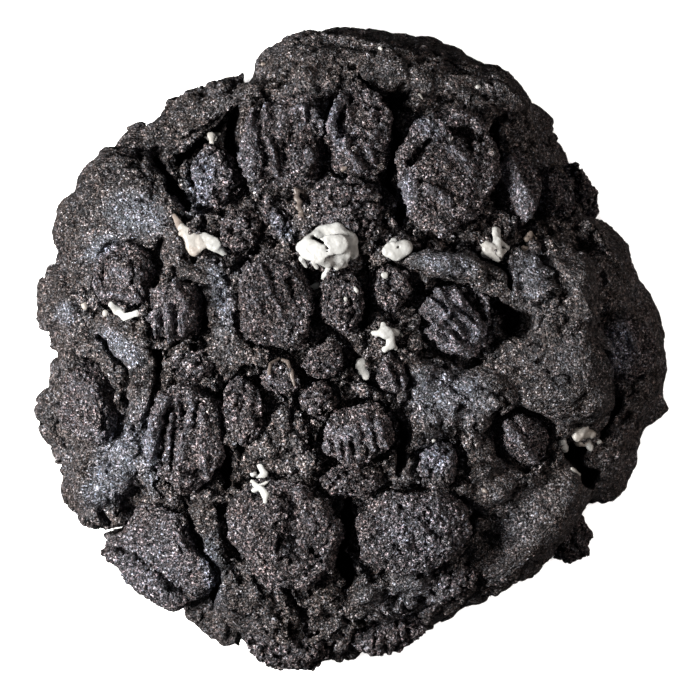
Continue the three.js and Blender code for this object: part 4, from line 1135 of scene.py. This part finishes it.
# Strands of filling: both ends, the radius at each, and how brown the strand is, from 0 to 1.
STRANDS = {
    "main": [
        ((-6.2, 14), (-5.2, 14.4), 0.9, 1.1, 0), ((-5.2, 14.6), (-3.6, 15.8), 1.1, 1, 0),
        ((-3.6, 15.9), (-1.8, 16.2), 1, 1.1, 0), ((-1.8, 16), (-0.4, 14.8), 1.1, 1.3, 0),
        ((-0.4, 14.8), (0.3, 13.3), 1.3, 0.8, 0), ((-5.6, 13.5), (-4.2, 12.9), 1.1, 0.9, 0),
        ((-4.4, 12.8), (-3, 11.9), 0.9, 0.6, 0), ((-1.8, 14.6), (-1.4, 12.6), 1, 0.8, 0),
        ((-3.4, 14.2), (-1.6, 14.4), 1.3, 1.3, 0), ((-5, 14), (-3.4, 13.4), 1.1, 1, 0),
        ((-3.2, 12.4), (-1.6, 12.2), 0.7, 0.7, 0), ((-0.8, 13.2), (-1, 12.2), 1, 0.6, 0),
        ((-2.9, 11.3), (-3.6, 10), 0.29, 0.24, 0), ((-3.6, 10), (-4.1, 9.3), 0.24, 0.19, 0),
        ((-4.5, 9), (-5.4, 8.6), 0.43, 0.29, 0), ((-1.7, 11.4), (-0.5, 11.7), 0.35, 0.21, 0.1),
        ((-6.4, 12.5), (-5.8, 11.5), 0.43, 0.21, 0), ((-4.8, 12.1), (-4.4, 11.4), 0.4, 0.21, 0),
    ],
    "small": [
        ((5, 13.5), (6.1, 13.1), 0.74, 0.87, 0), ((5.2, 13.9), (5.8, 14.8), 0.54, 0.47, 0),
        ((6.4, 13.2), (7.2, 14), 0.8, 1.01, 0), ((5.8, 14.9), (7.3, 14.5), 0.47, 0.87, 0),
        ((5.6, 13.9), (7, 13.9), 0.9, 0.9, 0), ((7.7, 14.5), (8.4, 15.1), 0.54, 0.34, 0.6),
    ],
    "streak": [
        ((-23.6, 18.4), (-22.6, 16.8), 0.25, 0.5, 0.85), ((-22.5, 16.7), (-21.2, 15.5), 0.55, 0.85, 0.3),
        ((-22.5, 15.9), (-20.8, 13.9), 0.5, 0.95, 0.65), ((-21.2, 15.3), (-20, 14.4), 0.9, 0.7, 0.35),
        ((-19.7, 15.5), (-18.2, 14.6), 0.6, 0.85, 0.05), ((-18.3, 14.5), (-16.8, 13.2), 0.85, 0.3, 0),
    ],
    "star": [
        ((4.4, 3.7), (4.5, 2.6), 0.32, 0.67, 0), ((3.1, 2.6), (4.5, 2.6), 0.29, 0.54, 0),
        ((4.8, 2.9), (6.1, 2.7), 0.46, 0.4, 0), ((6.1, 2.7), (6.9, 2.3), 0.32, 0.13, 0),
        ((5.3, 2.5), (5.4, 1.1), 0.46, 0.54, 0), ((5.4, 1.1), (4.6, 0.5), 0.48, 0.38, 0),
        ((5.4, 1.1), (6, 0.6), 0.4, 0.21, 0),
    ],
    "drop": [((1.5, -1.4), (1.8, -2.5), 0.75, 0.85, 0.15), ((1.8, -2.5), (2.2, -3.2), 0.75, 0.4, 0.15)],
    "upper_right": [
        ((19.1, 16.8), (19.8, 16.1), 0.2, 0.35, 0), ((19.8, 16.1), (19.8, 15.1), 0.35, 0.35, 0),
        ((19.9, 14.9), (21, 14), 0.35, 0.27, 0), ((17.7, 14.6), (18.4, 14.2), 0.45, 0.6, 0.2),
        ((18.5, 13.9), (19.6, 12.9), 0.75, 0.7, 0.25), ((19.4, 16.4), (19.7, 14.6), 0.45, 0.5, 0.1),
        ((18, 13.2), (18.6, 12.8), 0.35, 0.3, 0.2), ((20, 13.3), (20.6, 13.6), 0.54, 0.32, 0.2),
        ((24.2, 16), (23.7, 15.1), 0.27, 0.32, 0.85), ((24.3, 16), (25, 15.3), 0.27, 0.17, 0.85),
        ((23, 14.1), (24.7, 14), 0.27, 0.29, 0.9),
    ],
    "right": [
        ((29.9, -10.4), (30.1, -11.6), 0.9, 1, 0.05), ((30.6, -10.9), (32.4, -10.9), 0.9, 0.6, 0.45),
        ((30.8, -12.2), (32, -12), 0.35, 0.4, 0.5), ((28.6, -12.1), (28.9, -13), 0.5, 0.4, 0.1),
        ((32.2, -12), (32.4, -12.8), 0.4, 0.35, 0.1), ((33, -11.8), (33.7, -12.1), 0.3, 0.25, 0.2),
        ((31.2, -10.2), (31.8, -10.1), 0.4, 0.3, 0.3),
    ],
    "crescent": [
        ((-32, 6.5), (-31.2, 5.7), 0.38, 0.48, 0.1), ((-31.2, 5.7), (-30.2, 4.9), 0.48, 0.46, 0),
        ((-30.2, 4.8), (-28.5, 5.3), 0.46, 0.35, 0), ((-28.5, 5.3), (-27.7, 5.6), 0.27, 0.13, 0.2),
    ],
    "twist": [
        ((-13.2, -14.9), (-12.9, -16.1), 0.32, 0.4, 0.1), ((-12.5, -14.8), (-12, -15.1), 0.2, 0.27, 0),
        ((-12, -15.1), (-11.5, -16.1), 0.32, 0.54, 0), ((-11.6, -16.3), (-12.4, -16.5), 0.4, 0.21, 0),
        ((-13.1, -17.2), (-12.1, -18), 0.27, 0.35, 0), ((-12.8, -18.3), (-12, -17.9), 0.32, 0.29, 0),
        ((-12, -18), (-11.3, -18.8), 0.35, 0.48, 0), ((-11.3, -18.8), (-11.3, -19.8), 0.4, 0.2, 0),
        ((-11.9, -17.8), (-11.1, -17.2), 0.2, 0.13, 0.1),
    ],
}

FILLING_LIFT = 0.55  # a strand's middle lies this share of its radius over the crumb
FILLING_FLATNESS = 1.7  # how much wider than high a strand is
FILLING_SWELL = 0.08  # added to every radius
FILLING_SLOPE = 0.6  # a strand sinks no more than this share of its length
SMOOTH = 0.15  # how uneven smooth filling is, in millimetres
CRUMBLED = 0.32  # how uneven crumbled filling is

# Slots through the smears: both ends and the radius.
SLOTS = {
    "main": [((-4.9, 15.3), (-3.6, 14.6), 0.24), ((-3.6, 14.6), (-2.9, 13.8), 0.12)],
    "small": [((6.3, 14.0), (6.45, 14.1), 0.14)],
}

# Smears that are pressed flat: how high they rise over the crumb under them.
LIDS = {"main": 1.15, "small": 0.8, "star": 0.6, "streak": 0.6, "right": 0.8, "upper_right": 0.8}
LID_UNEVENNESS = 0.22  # how far the lid waves up and down
LID_SHARE = 85  # the lid lies over this percentage of the crumb under a smear

# Small bits of filling that lie apart, each a list of strands.
SPECKS = [
    [
        ((-19.6, 29.7), (-18.7, 29.3), 0.45, 0.6, 0.25), ((-18.7, 29.2), (-18.6, 28.4), 0.55, 0.3, 0.3),
        ((-18.2, 29.6), (-17.7, 29.6), 0.4, 0.35, 0.4),
    ],
    [
        ((7.4, 34.8), (8.6, 34.5), 0.19, 0.27, 0.5), ((8.4, 34), (9, 33.8), 0.4, 0.4, 0.8),
        ((9.3, 34.6), (9.6, 34.1), 0.27, 0.19, 0.3),
    ],
    [
        ((-7.2, 21.7), (-6.4, 21.5), 0.3, 0.34, 1), ((-6.4, 21.5), (-6, 21), 0.3, 0.22, 1),
        ((-7, 21.3), (-7.1, 20.6), 0.3, 0.3, 1), ((-7.1, 20.6), (-6.6, 20), 0.32, 0.26, 1),
        ((-6.6, 20), (-6.9, 19.4), 0.28, 0.34, 1), ((-6.9, 19.4), (-6.4, 18.7), 0.34, 0.26, 1),
        ((-6.4, 18.7), (-6.6, 18.2), 0.26, 0.36, 1), ((-6.6, 18.2), (-6.1, 17.5), 0.36, 0.26, 1),
    ],
    [((4.6, 10.3), (4.7, 10.3), 0.38, 0.38, 0)], [((-32.9, 5.3), (-32.8, 5.3), 0.4, 0.35, 0.3)],
    [((-36.1, 7), (-35.8, 6.2), 0.4, 0.4, 0.5)], [((-1, 24.5), (-0.6, 24.7), 0.29, 0.27, 0.9)],
    [((-0.6, 7.2), (-0.5, 7), 0.21, 0.19, 0.1)], [((0.6, 8.6), (0.9, 8.2), 0.21, 0.19, 0.1)],
    [((-7.7, 38.4), (-7.6, 38.4), 0.2, 0.16, 0.1)], [((-6.8, 37.9), (-6.1, 38), 0.17, 0.16, 0.1)],
    [((16.1, 36.6), (16.2, 36.5), 0.19, 0.16, 0.1)], [((17.2, 35.9), (17.4, 36), 0.22, 0.18, 0.1)],
    [((4, 41.1), (4.2, 40.9), 0.2, 0.16, 0.2)], [((11.1, -11.7), (11.2, -11.7), 0.17, 0.15, 0.1)],
    [((29.9, -15.6), (30.9, -16.4), 0.19, 0.21, 0.3)],
    [((-8.9, 40), (-7.3, 39.7), 0.24, 0.24, 1), ((-7.3, 39.7), (-5.7, 39.5), 0.24, 0.19, 1)],
    [((-11.9, 39.3), (-11.6, 39.2), 0.27, 0.2, 0.9)], [((27.4, 25.4), (28.6, 24.5), 0.24, 0.24, 1)],
    [((24.2, 27.9), (24.9, 27.3), 0.17, 0.15, 0.9)],
    [((17.9, -18.3), (18.2, -18.5), 0.24, 0.2, 1), ((16.6, -16.9), (16.8, -17), 0.2, 0.18, 1)],
    [
        ((-10.8, -2.9), (-10.6, -1.5), 0.16, 0.2, 1), ((-10.6, -1.5), (-9.5, -0.8), 0.2, 0.2, 1),
        ((-9.5, -0.8), (-8.3, -1.2), 0.2, 0.22, 1), ((-8.3, -1.2), (-7.8, -2.6), 0.22, 0.25, 1),
        ((-7.8, -2.6), (-7.4, -4.3), 0.25, 0.17, 1),
    ],
]


def strand_field(points, strands, relief):
    """About the signed distance to a smear's strands, and the stain of the nearest one."""
    field = np.full(len(points), BAND)
    nearest = field.copy()
    stain = np.zeros(len(points))
    for start, end, start_radius, end_radius, brown in strands:
        a = np.array((*start, relief.at(start) + FILLING_LIFT * start_radius))
        b = np.array((*end, relief.at(end) + FILLING_LIFT * end_radius))
        lowest = max(a[2], b[2]) - FILLING_SLOPE * math.dist(start, end)
        a[2], b[2] = max(a[2], lowest), max(b[2], lowest)
        a[:2] += MIDDLE
        b[:2] += MIDDLE
        way = b - a
        share = np.clip((points - a) @ way / max(way @ way, 1e-6), 0, 1)
        away = points - a - share[:, None] * way
        away[:, 2] *= FILLING_FLATNESS
        radius = start_radius + share * (end_radius - start_radius) + FILLING_SWELL
        distance = np.linalg.norm(away, axis=1) - radius
        stain = np.where(distance < nearest, brown, stain)
        nearest = np.minimum(nearest, distance)
        field = joined(field, distance, 0.3)
    return field, stain


def smear(strands, relief, seed, slots=(), lid=None, roughness=SMOOTH):
    """Points, quads and stain of a smear whose soft strands lie on the crumb and run together."""
    ends = np.array([(*end, relief.at(end)) for strand in strands for end in strand[:2]])
    ends[:, :2] += MIDDLE
    room = 1.0 + max(max(strand[2:4]) for strand in strands)
    grid = Grid(ends.min(axis=0) - room, ends.max(axis=0) + room, FILLING_CELL)
    everywhere = grid.points(np.ones(grid.shape, bool)).astype(np.float64)
    values, _ = strand_field(everywhere, strands, relief)
    if lid is not None:
        level = np.percentile(ends[:, 2], LID_SHARE) + lid
        level = level + LID_UNEVENNESS * waves(everywhere, 2.2, seed + 3, octaves=3, gain=0.6)
        values = carved(values, level - everywhere[:, 2], 0.3)
    for start, end, radius in slots:
        away, _ = path_distance(*(everywhere[:, :2] - MIDDLE).T, (start, end))
        values = carved(values, away - radius, 0.15)
    values += roughness * waves(everywhere, 1.1, seed, octaves=3, gain=0.8)
    points, quads = surface(values.reshape(grid.shape).astype(np.float32), grid)
    normals = normals_of(points, quads)
    _, stain = strand_field(points, strands, relief)
    points = points + (0.05 * waves(points, 0.8, seed + 7, 2))[:, None] * normals
    return points, quads, np.clip(stain + 0.12 * waves(points, 1.2, seed + 9, 2), 0, 1)


def filling_piece(name, points, quads, stain, *nodes):
    piece = mesh_object(name, points, quads, FILLING)
    finished(piece, "filling", nodes, FILLING_SHARE, stain=stain)


def scattered_specks(relief):
    """All the small bits of filling as one piece."""
    parts = [smear(strands, relief, 5400 + 9 * number) for number, strands in enumerate(SPECKS)]
    points, quads, stain = (list(column) for column in zip(*parts))
    starts = np.cumsum([0] + [len(part) for part in points])
    quads = [part + start for part, start in zip(quads, starts)]
    filling_piece("filling_specks", *(np.concatenate(column) for column in (points, quads, stain)))


# ---- all pieces


def dressed_cookie():
    """Dough and wafer pieces first, then what lies on them."""
    dough = dough_piece()
    wafers = [wafer_piece(node, 100 + 60 * number) for number, node in enumerate(wafer_nodes)]
    surfaces = [surface_of(piece) for piece in (dough, *wafers)]
    places, normals = (np.concatenate(column) for column in zip(*surfaces))
    relief = Relief(places)

    smoothness = mesh_values(dough.data.attributes["smooth"].data, "value", width=1)
    odds = np.full(len(places), 0.25)
    odds[: len(smoothness)] = (1 - smoothness) ** 2
    odds *= ramp(normals[:, 2], 0.1, 0.5) * ramp(places[:, 2], 6.0, 12.0)
    x, y = (places[:, :2] - MIDDLE).T
    for strands in STRANDS.values():
        for start, end, *radii, _ in strands:
            odds *= path_distance(x, y, (start, end))[0] > max(radii) + 0.7
    loose_crumbs(places, normals, odds)

    for number, node in enumerate(filling_nodes):
        name = node.removeprefix("filling_")
        seed = 5000 + 20 * number
        roughness = CRUMBLED if name in ("right", "upper_right") else SMOOTH
        shape = smear(STRANDS[name], relief, seed, SLOTS.get(name, ()), LIDS.get(name), roughness)
        filling_piece(f"{node}_smear", *shape, node)
    scattered_specks(relief)


dressed_cookie()


# ---- stage

FLOOR_COLOR = (0.93, 0.925, 0.92, 1)
WORLD_STRENGTH = 0.028


def floor():
    """The pale floor, which throws no light back on the cookie."""
    bpy.ops.mesh.primitive_plane_add(size=3.0, location=(0, 0, 0))
    plane = bpy.context.object
    plane.name = "pale_floor"
    material, tree, shader = new_material("pale_floor")
    feed(tree, shader, {"Base Color": FLOOR_COLOR, "Roughness": 0.9})
    plane.data.materials.append(material)
    plane.visible_diffuse = False
    plane.visible_glossy = False
    return plane


def area_light(name, place, size, power, color):
    """A round lamp that shines on the middle of the floor."""
    data = bpy.data.lights.new(name, "AREA")
    data.shape = "DISK"
    data.size = size * MM
    data.energy = power
    data.color = color
    lamp = linked_object(name, data)
    lamp.location = [value * MM for value in place]
    toward = -np.array(place, float)
    lean = math.atan2(math.hypot(toward[0], toward[1]), -toward[2])
    lamp.rotation_euler = (lean, 0, math.atan2(toward[1], toward[0]) - math.pi / 2)
    return lamp


def camera():
    """A camera straight above the cookie, with the photo's frame."""
    data = bpy.data.cameras.new("camera")
    data.sensor_width = 36.0
    data.lens = data.sensor_width * CAMERA_HEIGHT / PICTURE_WIDTH
    data.clip_end = 10
    eye = linked_object("camera", data)
    eye.location = (0, 0, CAMERA_HEIGHT * MM)
    bpy.context.scene.camera = eye


def stage():
    """The floor, the camera and the lights, one of which lights the floor alone."""
    plane = floor()
    camera()
    area_light("key", (-200, -12, 190), size=110, power=2.48, color=(1.0, 0.98, 0.95))
    area_light("top", (-60, 40, 900), size=400, power=0.3, color=(0.95, 0.98, 1.0))
    area_light("fill", (270, 30, 170), size=130, power=0.32, color=(1.0, 0.88, 0.8))
    wash = area_light("floor_wash", (0, 0, 1200), size=600, power=24.0, color=(1, 1, 1))
    lit = bpy.data.collections.new("washed")
    lit.objects.link(plane)
    wash.light_linking.receiver_collection = lit
    world = bpy.data.worlds.new("studio")
    world.use_nodes = True
    background = world.node_tree.nodes["Background"]
    background.inputs[0].default_value = (1, 1, 1, 1)
    background.inputs[1].default_value = WORLD_STRENGTH
    bpy.context.scene.world = world
    bpy.context.scene.view_settings.view_transform = "Standard"


stage()
